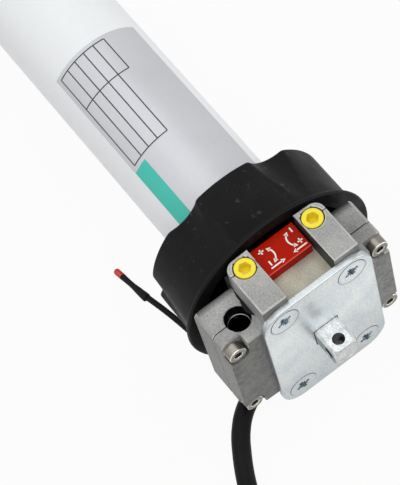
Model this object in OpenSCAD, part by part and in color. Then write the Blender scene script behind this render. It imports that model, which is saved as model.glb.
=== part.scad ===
// Tubular motor for a roller blind or shutter, with a hand crank override.
// X runs along the motor and out through the head's plate, Z is up on the
// adjusters' side. The origin is where the square pin leaves the plate.

/* [Mounting plate and pin] */
// Width across the flats of the square pin
pin_size = 10; // [8:0.5:11]
// Length of the pin in front of the plate
pin_length = 11.5; // [10.5:0.5:16]
// Diameter of the cross holes in the pin
pin_hole_d = 4.6; // [3:0.2:5]
// Distance of the cross holes from the plate
pin_hole_x = 7.4; // [4:0.1:8]
// Width of the plate
plate_w = 46.6; // [44:0.2:52]
// Height of the plate
plate_h = 69.4; // [67:0.2:73]
// Thickness of the plate
plate_t = 2.5; // [2:0.1:4]
// Corner radius of the plate
plate_corner_r = 9; // [4:0.5:11]
// Spacing of the plate screws across
plate_screw_span_y = 29; // [27:0.2:31]
// Spacing of the plate screws up and down
plate_screw_span_z = 54.6; // [53:0.2:57]
// Thread diameter of the plate screws
plate_screw_d = 6; // [5:0.5:6]
// Head diameter of the plate screws
plate_screw_head_d = 11.6; // [10:0.2:12]
// Length of the plate screws
plate_screw_l = 8; // [6:0.5:8]

/* [Head] */
// Reach of the left block from the axis
block_left = 37; // [36:0.2:40]
// Reach of the right block from the axis
block_right = 32; // [31:0.2:36]
// Top of the side blocks above the axis
block_top = 26; // [25:0.2:27]
// Bottom of the side blocks below the axis
block_bottom = 25; // [24.5:0.2:26.5]
// Depth of the side blocks
head_depth = 21; // [20.4:0.2:24]
// Depth of the front casting at the side blocks
front_depth = 9.8; // [9.4:0.2:10.4]
// Depth of the front casting at the adjuster bosses
boss_front_depth = 18; // [17.4:0.2:18.6]
// Height of the boss tops above the axis
boss_top = 37.7; // [36.5:0.1:40]
// Half width of the recess between the bosses
boss_inner = 10; // [9.4:0.1:10.4]
// Half width across the bosses
boss_outer = 20.5; // [19.6:0.1:21]
// Rounding of the bosses' rear outer corners
boss_round = 4; // [1:0.5:5]
// Floor of the recess between the bosses
recess_floor = 28; // [27:0.1:29]
// Bottom of the cable outlet below the axis
outlet_bottom = 37.6; // [37.4:0.1:38.4]
// Edge rounding of the side blocks
block_round = 3; // [1:0.5:4]
// Spacing of the housing screws up and down
cap_screw_span_z = 42.4; // [41.6:0.2:43]
// Distance of the left housing screws from the block's side
cap_screw_inset_left = 3.8; // [3.4:0.1:3.9]
// Distance of the right housing screws from the block's side
cap_screw_inset_right = 3.4; // [3.2:0.1:3.9]
// Thread diameter of the housing screws
cap_screw_d = 4; // [3:0.5:4]
// Head diameter of the housing screws
cap_screw_head_d = 7; // [6:0.2:7.4]
// Head height of the housing screws
cap_screw_head_h = 4; // [3:0.2:4.4]
// Length of the housing screws under the head
cap_screw_l = 13; // [10:0.5:15]

/* [Adjusters] */
// Spacing of the two limit adjusters
adjuster_span = 29.2; // [28.6:0.2:30]
// Diameter of an adjuster's head
adjuster_d = 7.8; // [6:0.2:8.2]
// Width across the flats of an adjuster's socket
adjuster_socket = 4; // [3:0.5:4.5]
// Height of the direction block
sign_block_h = 5; // [4:0.2:6]
// Depth of the direction block along the motor
sign_block_l = 11.8; // [11:0.2:12.4]

/* [Crank drive] */
// Teeth of the worm wheel
wheel_teeth = 27; // [26:1:27]
// Module of the worm gear
worm_module = 1.5; // [1.4:0.1:1.5]
// Pitch radius of the worm
worm_r = 5.65; // [5.4:0.05:5.8]
// Width across the flats of the crank socket
crank_socket = 7; // [6:0.5:7.4]
// Diameter of the crank hole
crank_hole_d = 9.8; // [9.6:0.1:10]
// Depth of the crank hole above the worm shaft
crank_hole_depth = 5.8; // [4:0.2:7]

/* [Crown] */
// Radius of the crown's flange
crown_flange_r = 40; // [39:0.2:42]
// Thickness of the crown's flange
crown_flange_t = 2.2; // [1.6:0.2:4]
// Radius of the crown's body
crown_r = 37.3; // [36.6:0.1:38.4]
// Length of the crown
crown_l = 26.7; // [26:0.1:30]
// Depth of the crown's flutes at the rear
flute_depth = 3.6; // [2:0.1:5]
// Radius of the flutes
flute_r = 12; // [9:0.5:15]

/* [Tube] */
// Outer diameter of the motor tube
tube_d = 45; // [44:0.5:46]
// Wall of the motor tube
tube_wall = 1.2; // [1:0.1:1.5]
// Length of the receiver board
board_l = 130; // [100:5:150]
// Length of the start capacitor
capacitor_l = 75; // [60:5:80]
// Length of the stator's core
stator_l = 110; // [90:5:120]
// Face width of the planet gears
planet_w = 13; // [9:1:15]

/* [Drive wheel] */
// Radius of the drive wheel
drive_wheel_r = 38.6; // [38:0.1:39.4]
// Length of the drive wheel
drive_wheel_l = 26; // [20:1:30]
// Diameter of the output shaft
output_d = 14; // [12:0.5:15]

/* [Cable] */
// Outer diameter of the mains cable
cable_d = 7.2; // [6.6:0.1:7.3]
// Diameter of the aerial lead
aerial_d = 1.8; // [1.4:0.1:2.4]

/* [Hidden] */
$fn = 64;
touch = 0.01;
fit_gap = 0.05;
air_gap = 0.4;

x_plate_back = -plate_t;
x_side_seam = x_plate_back - front_depth;
x_boss_seam = x_plate_back - boss_front_depth;
x_head_back = x_plate_back - head_depth;
rear_wall = 3.3;
x_rear_wall = x_head_back - rear_wall;
boss_rear = 5;
x_boss_back = x_boss_seam - boss_rear;
adjuster_y = adjuster_span / 2;
plate_screw_y = plate_screw_span_y / 2;
plate_screw_z = plate_screw_span_z / 2;
plate_screw_room = 0.2;
screw_head_h = plate_t - plate_screw_room;
recess_deep = 1.6;
recess_long = 5.6;
recess_wide = 1.5;
recess_turn = 20;
tick_deep = 0.5;
tick_long = 4.4;
tick_wide = 0.6;
rivet_size = pin_size - 2.5;
pin_seat = 1;
pin_edge = 0.7;
pin_bevel = pin_size * sqrt(2) - 2 * pin_edge;
pin_end_r = 0.52 * pin_size;

// Adjusters and the direction block between them
adjuster_stem_r = 2.2;
adjuster_foot = 24;
adjuster_head_h = 6;
adjuster_seat = boss_top - adjuster_head_h;
adjuster_socket_deep = 3.5;
adjuster_room = 0.3;
sign_block_wall = 1.4;
sign_block_y = boss_inner - 0.9;
x_sign_front = x_boss_seam + sign_block_l / 2;
x_sign_back = x_sign_front - sign_block_l;

// Housing screws: heads end flush behind the plate
cap_screw_z = cap_screw_span_z / 2;
cap_screw_ys = [-block_left + cap_screw_inset_left, block_right - cap_screw_inset_right];
cap_head_gap = 0.5;
x_cap_seat = x_plate_back - cap_head_gap - cap_screw_head_h;
notch_gap = 0.8;
notch = cap_screw_head_d / 2 + notch_gap;

// Worm gear: worm upright in the left block, wheel on the motor's own axis
wheel_r = worm_module * wheel_teeth / 2;
worm_y = -(wheel_r + worm_r);
worm_add = 0.9 * worm_module;
wheel_add = 0.7 * worm_module;
worm_ded = 1.05 * worm_module;
worm_lead = PI * worm_module;
worm_tooth = 0.28 * worm_lead;
worm_turns = 4;
worm_half = worm_turns * worm_lead / 2;
worm_core_r = worm_r - worm_ded;
worm_out_r = worm_r + worm_add;
worm_room = 0.6;
worm_cavity_r = worm_out_r + worm_room;
worm_collar_t = 1.2;
worm_collar_r = worm_r + 0.4 * worm_module;
worm_cavity_h = worm_half + worm_collar_t + 0.3;
worm_top = block_top - crank_hole_depth;
worm_foot = -21;
worm_foot_r = 3.6;
worm_journal_r = 4.7;
crank_socket_depth = 9;
wheel_w = 5;
wheel_hub = 4;
wheel_cavity_r = wheel_r + wheel_add + 0.9;
x_cavity_rear = x_side_seam - 5.3;
x_cavity_front = x_side_seam + 6;
x_journal_end = x_cavity_rear - 0.4;

// Crown, neck and limit gear inside the crown
crown_gap = 0.7;
x_flange = x_rear_wall - crown_gap;
x_crown_rear = x_flange - crown_l;
limit_module = 1;
limit_ring_teeth = 60;
limit_pinion_teeth = 9;
limit_ring_r = limit_module * limit_ring_teeth / 2;
limit_pinion_r = limit_module * limit_pinion_teeth / 2;
limit_z = limit_ring_r - limit_pinion_r;
limit_gear_w = 5;
x_limit_gear = x_flange - 1.5 - limit_gear_w;
limit_thin = 0.3;
limit_shaft_r = 1.5;
limit_bore = 10;
x_limit_shaft = x_rear_wall + limit_bore - air_gap;
pocket_y = 8.2;
pocket_floor = 20.4;
x_pocket_rear = x_boss_seam - 3;
x_pocket_front = x_cavity_rear - 0.9;
cam_r = 3;
cam_lobe_r = 3.9;
cam_t = 1.8;
cam_pitch = 2.3;
x_cams = x_pocket_rear + 0.4;
switch_y = [4.4, 8];
switch_room = 0.2;
neck_small_r = 19.4;
neck_r = 25;
x_neck_step = x_limit_gear - 1.8;
neck_l = 12;
x_neck_end = x_neck_step - neck_l;
crown_web = 1.5;
journal_r = 17;
shaft_r = 11;
shaft_bore_r = 7;
x_shaft_end = x_cavity_front + 2;
circlip_t = 1.1;
circlip_room = 0.1;
circlip_mouth = 6;
x_circlip = x_neck_end + 1.3;
circlip_r = neck_r + 1.6;
circlip_groove_r = neck_r - 1.2;

// Tube unit, counted back from the neck
shoulder_t = 1.2;
x_tube = x_neck_end - air_gap - shoulder_t;
tube_r = tube_d / 2;
tube_in_r = tube_r - tube_wall;
insert_r = tube_in_r - 0.1;
plug_l = 16;
brake_l = 55;
shield_l = 8;
overhang = 16;
seat_gap = 0.5;
x_board = x_tube - plug_l - seat_gap;
carrier_wall = 1.6;
carrier_end = 3;
board_t = 1.6;
board_seat = -5.5;
board_half = sqrt(pow(insert_r - carrier_wall / 2, 2) - board_seat * board_seat);
board_wire_r = 6;
board_wire_z = 8;
relay_y = [-9, 2];
relay_l = 18;
relay_h = 11;
relay_pitch = 26;
relay_start = 22;
aerial_can_r = 4;
capacitor_r = 17.5;
capacitor_foot = 6;
capacitor_band = 8;
x_capacitor = x_board - board_l - seat_gap;
x_brake = x_capacitor - capacitor_l - seat_gap;
x_motor = x_brake - brake_l - seat_gap;
x_stator = x_motor - shield_l - overhang;
x_motor_end = x_stator - stator_l - overhang - shield_l;
x_gearbox = x_motor_end - seat_gap;
rotor_r = 12;
stator_bore_r = rotor_r + 0.3;
rotor_shaft_r = 4;
slots = 12;
slot_half = 1.3;
slot_out_r = 18;
slot_in_r = 13.4;
slot_liner = 0.2;
bush_r = 7.5;
bush_run = 0.02;
brake_wall = 4;
brake_room_r = 18.5;
brake_coil_l = 22;
brake_plate_l = 6;
brake_plate_r = 17;
brake_disc_l = 6;
brake_disc_r = 16.5;
brake_hub_l = 7.6;
brake_hub_r = 7;
x_brake_plate = x_brake - brake_coil_l - brake_plate_l;
x_brake_disc = x_brake_plate - air_gap - brake_disc_l;

// Planetary gearbox: three like stages in one long ring gear
gear_module = 0.7;
sun_teeth = 14;
planet_teeth = 19;
ring_teeth = 52;
stages = 3;
planets = 3;
sun_r = gear_module * sun_teeth / 2;
planet_r = gear_module * planet_teeth / 2;
planet_orbit = sun_r + planet_r;
tooth_add = 0.85;
tooth_ded = 1.1;
gear_thin = 0.24;
carrier_t = 3.5;
carrier_r = planet_orbit + 4;
planet_pin_r = 2.5;
stage_gap = 0.4;
stage_l = planet_w + carrier_t + 2 * stage_gap;
x_ring_end = x_gearbox - stages * stage_l - 1;
cover_l = 12;
x_cover_end = x_ring_end - cover_l;
end_cap_l = 14;
cap_rim = 2;
x_tube_end = x_cover_end - end_cap_l + cap_rim;
output_r = output_d / 2;
output_flat = 1.5;
bush_wall = 2.5;
cap_room = 0.5;
x_wheel = x_tube_end - cap_rim - air_gap;
x_wheel_end = x_wheel - drive_wheel_l;
x_output_end = x_wheel_end - 3.2;
wheel_rim = 9;
wheel_hub_r = 13;
spoke_t = 3;
clip_t = 1.2;
clip_groove_r = output_r - 2.2;
clip_r = output_r + 3;
clip_mouth = 5;
x_clip = x_wheel_end - clip_t;
flutes = 6;
flute_tilt = 10;
flute_l = 1.1 * flute_depth / tan(flute_tilt);

// Surface that the motor lies on
floor_z = -crown_flange_r;

// Cable outlet, in the lower left wall of the head
cable_r = cable_d / 2;
outlet_x = -15;
outlet_z = -32;
outlet_turn = -67;
gland_root_r = cable_r + 1.2;
gland_tip_r = cable_r + 0.4;
gland_inside = 8.5;
gland_outside = 12;
gland_skin = 0.3;
gland_groove = 1.4;
gland_pitch = 2.8;
outlet = [outlet_x, -boss_outer, outlet_z];
outlet_way = [cos(outlet_turn), sin(outlet_turn), 0];

// Mains cable: from the gland down to the floor and over to the coil
cable_floor_z = floor_z + cable_r;
coil_turns = 2.6;
coil_last = 1.2;
coil_step = 7.7;
coil_layer = 7.7;
coil_tie_t = 1.1;
coil_r_out = 52.3;
coil_r_in = coil_r_out - coil_step * coil_turns;
coil_z = floor_z + coil_tie_t + 0.1 + cable_r;
cable_side = -57.1;
coil_c = [112, cable_side + coil_r_out];
coil_end = 3 * coil_turns + coil_last;
loop_rings = 24;
cable_route = [outlet - (gland_inside - 1) * outlet_way, outlet + gland_outside * outlet_way,
    [-8.5, -35.1, -32.2], [-6.2, -38.4, -32.6], [-3.5, -41.3, -33.2], [-0.5, -43.9, -34], [3.7, -46.7, -34.9],
    [8, -49.3, -35.8], [13.3, -52, -36.3], [18.8, -54.3, cable_floor_z], [24.6, -56, cable_floor_z],
    [30.5, -56.9, cable_floor_z], [36, cable_side, cable_floor_z], [56, cable_side, cable_floor_z],
    [76, cable_side, cable_floor_z], [94, cable_side, (cable_floor_z + coil_z) / 2],
    [coil_c.x, cable_side, coil_z]];

// Aerial lead: out of the head's lower left wall and back along the floor
aerial_r = aerial_d / 2;
aerial_floor_z = floor_z + aerial_r;
aerial_sleeve_r = 1.4;
aerial_exit = [x_boss_seam - 3.1, -boss_outer, -33];
grommet_r = 2;
grommet_flange_r = 2.7;
grommet_flange_t = 0.9;
grommet_inside = 3.5;
aerial_route = [aerial_exit + [0, grommet_inside - 0.5, 0], aerial_exit - [0, 1.6, 0], [-24.3, -24.5, -33.8],
    [-26.4, -27.2, -35.2], [-30, -29.2, -37], [-36, -30.6, -38.5], [-44, -31.7, aerial_floor_z],
    [-52, -32.8, aerial_floor_z], [-59, -33.9, aerial_floor_z], [-65, -34.9, -38.9],
    [-71, -35.9, floor_z + aerial_sleeve_r]];
aerial_sleeve_l = 14;
aerial_waist_l = 9;
aerial_mouth_r = 1.08;
aerial_tip_r = 1.15;
aerial_tip_l = 4;
aerial_end = aerial_route[len(aerial_route) - 1];
aerial_turn = atan2(-1, -7);

core_r = 1.1;
core_pitch = 2.3;
core_spread = 2.4;
core_l = 30;
core_drop = 2.6;
ferrule_l = 8;
ferrule_collar = 3;

// Shapes used by several pieces

// Draws in the Y-Z plane at x and extrudes towards +X
module on_x(x) translate([x, 0, 0]) rotate([90, 0, 90]) children();

module rod_x(x0, x1, r, y = 0, z = 0) on_x(x0) translate([y, z, 0]) cylinder(h = x1 - x0, r = r);

module rod_z(x, y, z0, z1, r) translate([x, y, z0]) cylinder(h = z1 - z0, r = r);

module box(low, high) translate(low) cube(high - low);

module ring_x(x0, x1, r_out, r_in) difference() {
    rod_x(x0, x1, r_out);
    rod_x(x0 - 1, x1 + 1, r_in);
}

module round_rect(low, high, r) {
    translate([low.x + r, low.y]) square([high.x - low.x - 2 * r, high.y - low.y]);
    translate([low.x, low.y + r]) square([high.x - low.x, high.y - low.y - 2 * r]);
    for (x = [low.x + r, high.x - r], y = [low.y + r, high.y - r])
        translate([x, y]) circle(r);
}

module hex_x(x0, x1, flats, y = 0, z = 0)
    on_x(x0) translate([y, z, 0]) cylinder(h = x1 - x0, r = flats / sqrt(3), $fn = 6);

// Gear outline: straight-flanked teeth on the pitch radius r
function gear_outline(teeth, r, r_in, r_out, half) = [
    for (i = [0 : teeth - 1], p = [[r_in, -1], [r_out, -1], [r_out, 1], [r_in, 1]])
        let (
            h = half + (r - p[0]) * tan(20),
            a = 360 * i / teeth + p[1] * h / p[0] * 180 / PI
        ) p[0] * [cos(a), sin(a)]
];

module spur(teeth, m, thin) {
    r = m * teeth / 2;
    polygon(gear_outline(teeth, r, r - tooth_ded * m, r + tooth_add * m, (PI * m / 2 - thin) / 2));
}

// Space inside a ring gear, with a gap at angle 0
module ring_space(teeth, m, thin) {
    r = m * teeth / 2;
    polygon(gear_outline(teeth, r, r - tooth_add * m, r + tooth_ded * m, (PI * m / 2 + thin) / 2));
}

// Round tube along a route
function unit(v) = v / norm(v);
function heading(path, i) = unit(path[min(i + 1, len(path) - 1)] - path[max(i - 1, 0)]);

module tube(path, r, sides, start, end) {
    rings = len(path);
    points = [
        for (i = [0 : rings - 1])
            let (
                t = i == 0 ? start : i == rings - 1 ? end : heading(path, i),
                s = unit(cross(t, [0, 0, 1])),
                u = cross(s, t)
            ) for (k = [0 : sides - 1]) path[i] + r * (cos(360 * k / sides) * s + sin(360 * k / sides) * u)
    ];
    faces = concat(
        [for (k = [1 : sides - 2]) [0, k + 1, k]],
        [
            for (i = [0 : rings - 2], k = [0 : sides - 1])
                let (a = i * sides + k, b = i * sides + (k + 1) % sides)
                    for (f = [[a, b, b + sides], [a, b + sides, a + sides]]) f
        ],
        let (e = (rings - 1) * sides) [for (k = [1 : sides - 2]) [e, e + k, e + k + 1]]
    );
    polyhedron(points, faces, convexity = 10);
}

// Head: die-cast housings

// Both castings' common outline at the bosses and the cable outlet
module centre_outline() {
    translate([-boss_outer, -outlet_bottom]) square([2 * boss_outer, outlet_bottom + recess_floor]);
    for (s = [-1, 1])
        translate([s > 0 ? boss_inner : -boss_outer, 0]) square([boss_outer - boss_inner, boss_top]);
}

module side_outline() round_rect([-block_left, -block_bottom], [block_right, block_top], block_round);

// Everything bored through or into the two castings
module housing_bores() {
    rod_x(x_cavity_rear, x_cavity_front, wheel_cavity_r);
    rod_x(x_neck_end - 1, x_cavity_rear + 1, journal_r + fit_gap);
    rod_x(x_cavity_front - 1, x_shaft_end + 0.3, shaft_r + fit_gap);
    rod_z(x_side_seam, worm_y, -worm_cavity_h, worm_cavity_h, worm_cavity_r);
    rod_z(x_side_seam, worm_y, worm_foot - 0.5, 0, worm_foot_r + fit_gap);
    rod_z(x_side_seam, worm_y, 0, worm_top + 1, worm_journal_r + fit_gap);
    rod_z(x_side_seam, worm_y, worm_top, block_top + 1, crank_hole_d / 2);
    for (s = [-1, 1]) {
        y = s * adjuster_y;
        rod_z(x_boss_seam, y, adjuster_foot - adjuster_room, boss_top + 1, adjuster_stem_r + fit_gap);
        rod_z(x_boss_seam, y, adjuster_seat, boss_top + 1, adjuster_d / 2 + adjuster_room);
        for (z = [-1, 1])
            rod_x(x_plate_back - plate_screw_l - 1, x_plate_back + 1, plate_screw_d / 2,
                s * plate_screw_y, z * plate_screw_z);
    }
    for (y = cap_screw_ys, z = [-cap_screw_z, cap_screw_z])
        rod_x(x_cap_seat - cap_screw_l - 1, x_cap_seat + 1, cap_screw_d / 2, y, z);
    box([x_pocket_rear, -pocket_y, pocket_floor], [x_pocket_front, pocket_y, recess_floor + 1]);
    rod_x(x_rear_wall - 1, x_rear_wall + limit_bore, limit_shaft_r + fit_gap, 0, limit_z);
    at_outlet(-gland_inside) cylinder(h = gland_inside + 5, r = gland_root_r);
    at_aerial_exit(-grommet_inside) cylinder(h = grommet_inside + 1, r = grommet_r);
}

module at_outlet(d) translate(outlet) rotate([0, 90, outlet_turn]) translate([0, 0, d]) children();

module at_aerial_exit(d) translate(aerial_exit) rotate([90, 0, 0]) translate([0, 0, d]) children();

// Corner notches where the housing screws' heads stand
module screw_notches() for (i = [0, 1], s = [-1, 1]) {
    y = cap_screw_ys[i];
    outer = i == 0 ? -block_left - 1 : block_right + 1;
    inner = i == 0 ? y + notch : y - notch;
    top = s * (max(block_top, block_bottom) + 1);
    low = s * (cap_screw_z - notch);
    box([x_cap_seat, min(outer, inner), min(top, low)], [x_plate_back + 1, max(outer, inner), max(top, low)]);
}

module front_housing() color("#a7a8a8") difference() {
    union() {
        on_x(x_side_seam) linear_extrude(front_depth) side_outline();
        on_x(x_boss_seam) linear_extrude(boss_front_depth) centre_outline();
    }
    screw_notches();
    housing_bores();
}

module rear_housing() color("#9fa0a0") difference() {
    union() {
        difference() {
            on_x(x_head_back) linear_extrude(head_depth - front_depth) side_outline();
            on_x(x_boss_seam) linear_extrude(head_depth)
                square([2 * boss_outer, 4 * boss_top], center = true);
        }
        on_x(x_rear_wall) linear_extrude(x_boss_seam - x_rear_wall)
            translate([-boss_outer, -outlet_bottom]) square([2 * boss_outer, outlet_bottom + recess_floor]);
        for (s = [-1, 1]) boss_back(s);
        rod_x(x_neck_step, x_rear_wall, neck_small_r);
        rod_x(x_neck_end, x_neck_step, neck_r);
    }
    housing_bores();
    circlip_groove();
}

// Rear end of an adjuster boss, with its outer corner rounded
module boss_back(s) translate([0, 0, recess_floor - touch]) linear_extrude(boss_top - recess_floor + touch)
    difference() {
        translate([x_boss_back, s > 0 ? boss_inner : -boss_outer])
            square([boss_rear, boss_outer - boss_inner]);
        translate([x_boss_back, s * boss_outer]) difference() {
            square(2 * boss_round, center = true);
            translate([boss_round, -s * boss_round]) circle(boss_round);
        }
    }

// Head: plate, pin and screws

module mounting_plate() color("#d3d8da") difference() {
    on_x(x_plate_back) linear_extrude(plate_t)
        round_rect([-plate_w / 2, -plate_h / 2], [plate_w / 2, plate_h / 2], plate_corner_r);
    box([x_plate_back - 1, -rivet_size / 2, -rivet_size / 2], [1, rivet_size / 2, rivet_size / 2]);
    pin_bar(-pin_seat, 1, fit_gap);
    for (y = [-plate_screw_y, plate_screw_y], z = [-plate_screw_z, plate_screw_z]) {
        rod_x(x_plate_back - 1, 1, plate_screw_d / 2 + plate_screw_room, y, z);
        screw_head(y, z, fit_gap);
    }
}

// Square bar with broken edges
module pin_bar(x0, x1, room = 0) intersection() {
    side = pin_size + 2 * room;
    bevel = pin_bevel + 2 * room;
    translate([(x0 + x1) / 2, 0, 0]) cube([x1 - x0, side, side], center = true);
    translate([(x0 + x1) / 2, 0, 0]) rotate([45, 0, 0]) cube([x1 - x0, bevel, bevel], center = true);
}

// Square pin, seated and riveted in the plate, its end rounded off and cross drilled
module bracket_pin() color("#c9cfd2") difference() {
    union() {
        intersection() {
            pin_bar(-pin_seat, pin_length);
            translate([pin_length, 0, 0]) rotate([0, -90, 0]) cylinder(h = pin_length + pin_size,
                r1 = pin_end_r, r2 = pin_end_r + pin_length + pin_size);
        }
        box([x_plate_back, -rivet_size / 2, -rivet_size / 2], [-pin_seat, rivet_size / 2, rivet_size / 2]);
    }
    rod_z(pin_hole_x, 0, -pin_size, pin_size, pin_hole_d / 2);
    translate([pin_hole_x, pin_size, 0]) rotate([90, 0, 0]) cylinder(h = 2 * pin_size, r = pin_hole_d / 2);
}

// Countersunk head, its top flush with the plate's face
module screw_head(y, z, room = 0) {
    r = plate_screw_head_d / 2 + room;
    on_x(-screw_head_h) translate([y, z, 0]) cylinder(h = screw_head_h, r1 = r - screw_head_h, r2 = r);
}

module plate_screws() color("#c4cbd0")
    for (y = [-plate_screw_y, plate_screw_y], z = [-plate_screw_z, plate_screw_z]) difference() {
        union() {
            screw_head(y, z);
            rod_x(x_plate_back - plate_screw_l, -1, plate_screw_d / 2 - fit_gap, y, z);
        }
        for (a = [0, 90]) on_x(0) translate([y, z, 0]) rotate(a + recess_turn) {
            cube([recess_long, recess_wide, 2 * recess_deep], center = true);
            rotate(45) cube([tick_long, tick_wide, 2 * tick_deep], center = true);
        }
    }

module housing_screws() color("#cfccc4")
    for (y = cap_screw_ys, z = [-cap_screw_z, cap_screw_z]) difference() {
        union() {
            rod_x(x_cap_seat, x_cap_seat + cap_screw_head_h, cap_screw_head_d / 2, y, z);
            rod_x(x_cap_seat - cap_screw_l, x_cap_seat, cap_screw_d / 2 - fit_gap, y, z);
        }
        hex_x(x_cap_seat + cap_screw_head_h / 2, x_plate_back, cap_screw_d * 0.75, y, z);
    }

// Adjusters and limit switch unit

module direction_block() color("#b3200f") difference() {
    box([x_sign_back, -sign_block_y, recess_floor],
        [x_sign_front, sign_block_y, recess_floor + sign_block_h]);
    box([x_pocket_rear, -pocket_y, recess_floor - 1],
        [x_pocket_front, pocket_y, recess_floor + sign_block_h - sign_block_wall]);
}

module adjuster(s) color("#f2cf1b") difference() {
    union() {
        rod_z(x_boss_seam, s * adjuster_y, adjuster_seat + fit_gap, boss_top, adjuster_d / 2);
        rod_z(x_boss_seam, s * adjuster_y, adjuster_foot, adjuster_seat + 1, adjuster_stem_r);
    }
    translate([x_boss_seam, s * adjuster_y, boss_top - adjuster_socket_deep]) rotate(15)
        cylinder(h = adjuster_socket_deep + 1, r = adjuster_socket / sqrt(3), $fn = 6);
}

module left_adjuster() adjuster(-1);

module right_adjuster() adjuster(1);

module limit_pinion() color("#1c1c1e") {
    on_x(x_limit_gear) translate([0, limit_z, 0]) linear_extrude(limit_gear_w)
        rotate(90) spur(limit_pinion_teeth, limit_module, limit_thin);
    rod_x(x_limit_gear, x_limit_shaft, limit_shaft_r, 0, limit_z);
}

// Two cams on the pinion's shaft, one for each end of travel
module limit_cams() color("#d8d2c2") for (i = [0, 1]) on_x(x_cams + cam_pitch * i) translate([0, limit_z, 0])
    linear_extrude(cam_t) difference() {
        union() {
            circle(cam_r);
            rotate(70 + 40 * i) translate([0, -0.8]) square([cam_lobe_r, 1.6]);
        }
        circle(limit_shaft_r);
    }

module limit_switches() color("#1c1c1e") for (s = [-1, 1])
    box([x_pocket_rear + switch_room, min(s * switch_y), pocket_floor],
        [x_pocket_front - switch_room, max(s * switch_y), recess_floor - switch_room]);

// Crank drive

// Worm with one round thread between two thrust collars, and the crank socket above
module worm_shaft() color("#5a5d60") translate([x_side_seam, worm_y, 0]) difference() {
    union() {
        translate([0, 0, -worm_half]) linear_extrude(2 * worm_half, twist = -360 * worm_turns,
            slices = 12 * worm_turns, $fn = 16)
            translate([0, (worm_out_r - worm_core_r) / 2]) circle((worm_out_r + worm_core_r) / 2);
        for (s = [-1, 1]) translate([0, 0, s * (worm_half + worm_collar_t / 2 - touch)])
            cylinder(h = worm_collar_t, r = worm_collar_r, center = true);
        translate([0, 0, worm_foot]) cylinder(h = -worm_foot - worm_half, r = worm_foot_r);
        translate([0, 0, worm_half]) cylinder(h = worm_top - worm_half, r = worm_journal_r);
    }
    translate([0, 0, worm_top - crank_socket_depth])
        cylinder(h = crank_socket_depth + 1, r = crank_socket / sqrt(3), $fn = 6);
}

module worm_wheel() color("#b78b3c") difference() {
    union() {
        on_x(x_side_seam - wheel_w / 2) linear_extrude(wheel_w) rotate(180 + 180 / wheel_teeth)
            polygon(gear_outline(wheel_teeth, wheel_r, wheel_r - worm_ded, wheel_r + wheel_add,
                worm_tooth / 2));
        rod_x(x_journal_end, x_cavity_front - worm_room, shaft_r + wheel_hub);
    }
    rod_x(x_journal_end - 1, x_cavity_front, shaft_r);
}

// Crown

module crown() color("#1d1d1f") difference() {
    union() {
        rod_x(x_flange - crown_flange_t, x_flange, crown_flange_r);
        rod_x(x_crown_rear, x_flange - crown_flange_t + touch, crown_r);
    }
    for (i = [0 : flutes - 1]) flute(360 * i / flutes, crown_r, x_crown_rear);
    rod_x(x_limit_gear - crown_web, x_flange + 1, limit_ring_r - 2.5);
    rod_x(x_limit_gear + limit_gear_w, x_flange + 1, limit_ring_r + 4);
    on_x(x_limit_gear) linear_extrude(limit_gear_w + 1) rotate(90)
        ring_space(limit_ring_teeth, limit_module, limit_thin);
    rod_x(x_crown_rear - 1, x_flange, neck_r + fit_gap);
    rod_x(x_crown_rear - 1, x_circlip + circlip_t + circlip_room, circlip_r + air_gap);
}

// Shallow flute that runs out towards the flange
module flute(a, r, x) on_x(x) rotate(a) translate([r - flute_depth + flute_r, 0, 0])
    rotate([0, flute_tilt, 0]) translate([0, 0, -flute_r]) cylinder(h = flute_l + flute_r, r = flute_r);

module circlip_groove()
    ring_x(x_circlip - circlip_room, x_circlip + circlip_t + circlip_room, neck_r + 1, circlip_groove_r);

// Open spring ring that keeps the crown on the neck
module crown_circlip() color("#6f7275") on_x(x_circlip) linear_extrude(circlip_t) difference() {
    circle(circlip_r);
    circle(circlip_groove_r);
    translate([-circlip_mouth / 2, -circlip_r - 1]) square([circlip_mouth, circlip_r]);
}

// Tube unit

module tube_neck() color("#b9bbbd") difference() {
    union() {
        rod_x(x_tube, x_tube + shoulder_t, tube_r);
        rod_x(x_tube - plug_l, x_tube, insert_r);
        rod_x(x_tube, x_journal_end, journal_r);
        rod_x(x_journal_end - 1, x_shaft_end, shaft_r);
    }
    rod_x(x_tube - plug_l - 1, x_shaft_end + 1, shaft_bore_r);
    rod_x(x_tube - plug_l - 1, x_tube - 3, insert_r - 4);
}

module motor_tube() color("#f1f2f2") ring_x(x_tube_end, x_tube, tube_r, tube_in_r);

// Receiver board with its carrier

module board_carrier() color("#d9d9d4") difference() {
    rod_x(x_board - board_l, x_board, insert_r);
    rod_x(x_board - board_l + carrier_end, x_board - carrier_end, insert_r - carrier_wall);
    box([x_board - board_l + carrier_end, -tube_r, board_seat], [x_board - carrier_end, tube_r, tube_r]);
    rod_x(x_board - board_l - 1, x_board + 1, board_wire_r, 0, board_wire_z);
}

module receiver_board() color("#1f6b3a") {
    top = board_seat + board_t;
    box([x_board - board_l + carrier_end, -board_half, board_seat], [x_board - carrier_end, board_half, top]);
    for (i = [0 : 2]) let (x = x_board - relay_start - relay_pitch * i)
        box([x - relay_l, relay_y[0], top - touch], [x, relay_y[1], top + relay_h]);
    rod_z(x_board - relay_start / 2, 2 * aerial_can_r, top - touch, top + relay_h, aerial_can_r);
}

module capacitor() color("#30343a") {
    rod_x(x_capacitor - capacitor_l, x_capacitor - capacitor_foot, capacitor_r);
    ring_x(x_capacitor - capacitor_foot - 1, x_capacitor, insert_r, board_wire_z + board_wire_r);
    ring_x(x_capacitor - (capacitor_l + capacitor_band) / 2, x_capacitor - (capacitor_l - capacitor_band) / 2,
        insert_r, capacitor_r - 1);
}

// Spring-applied brake on the motor's rear end

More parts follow.
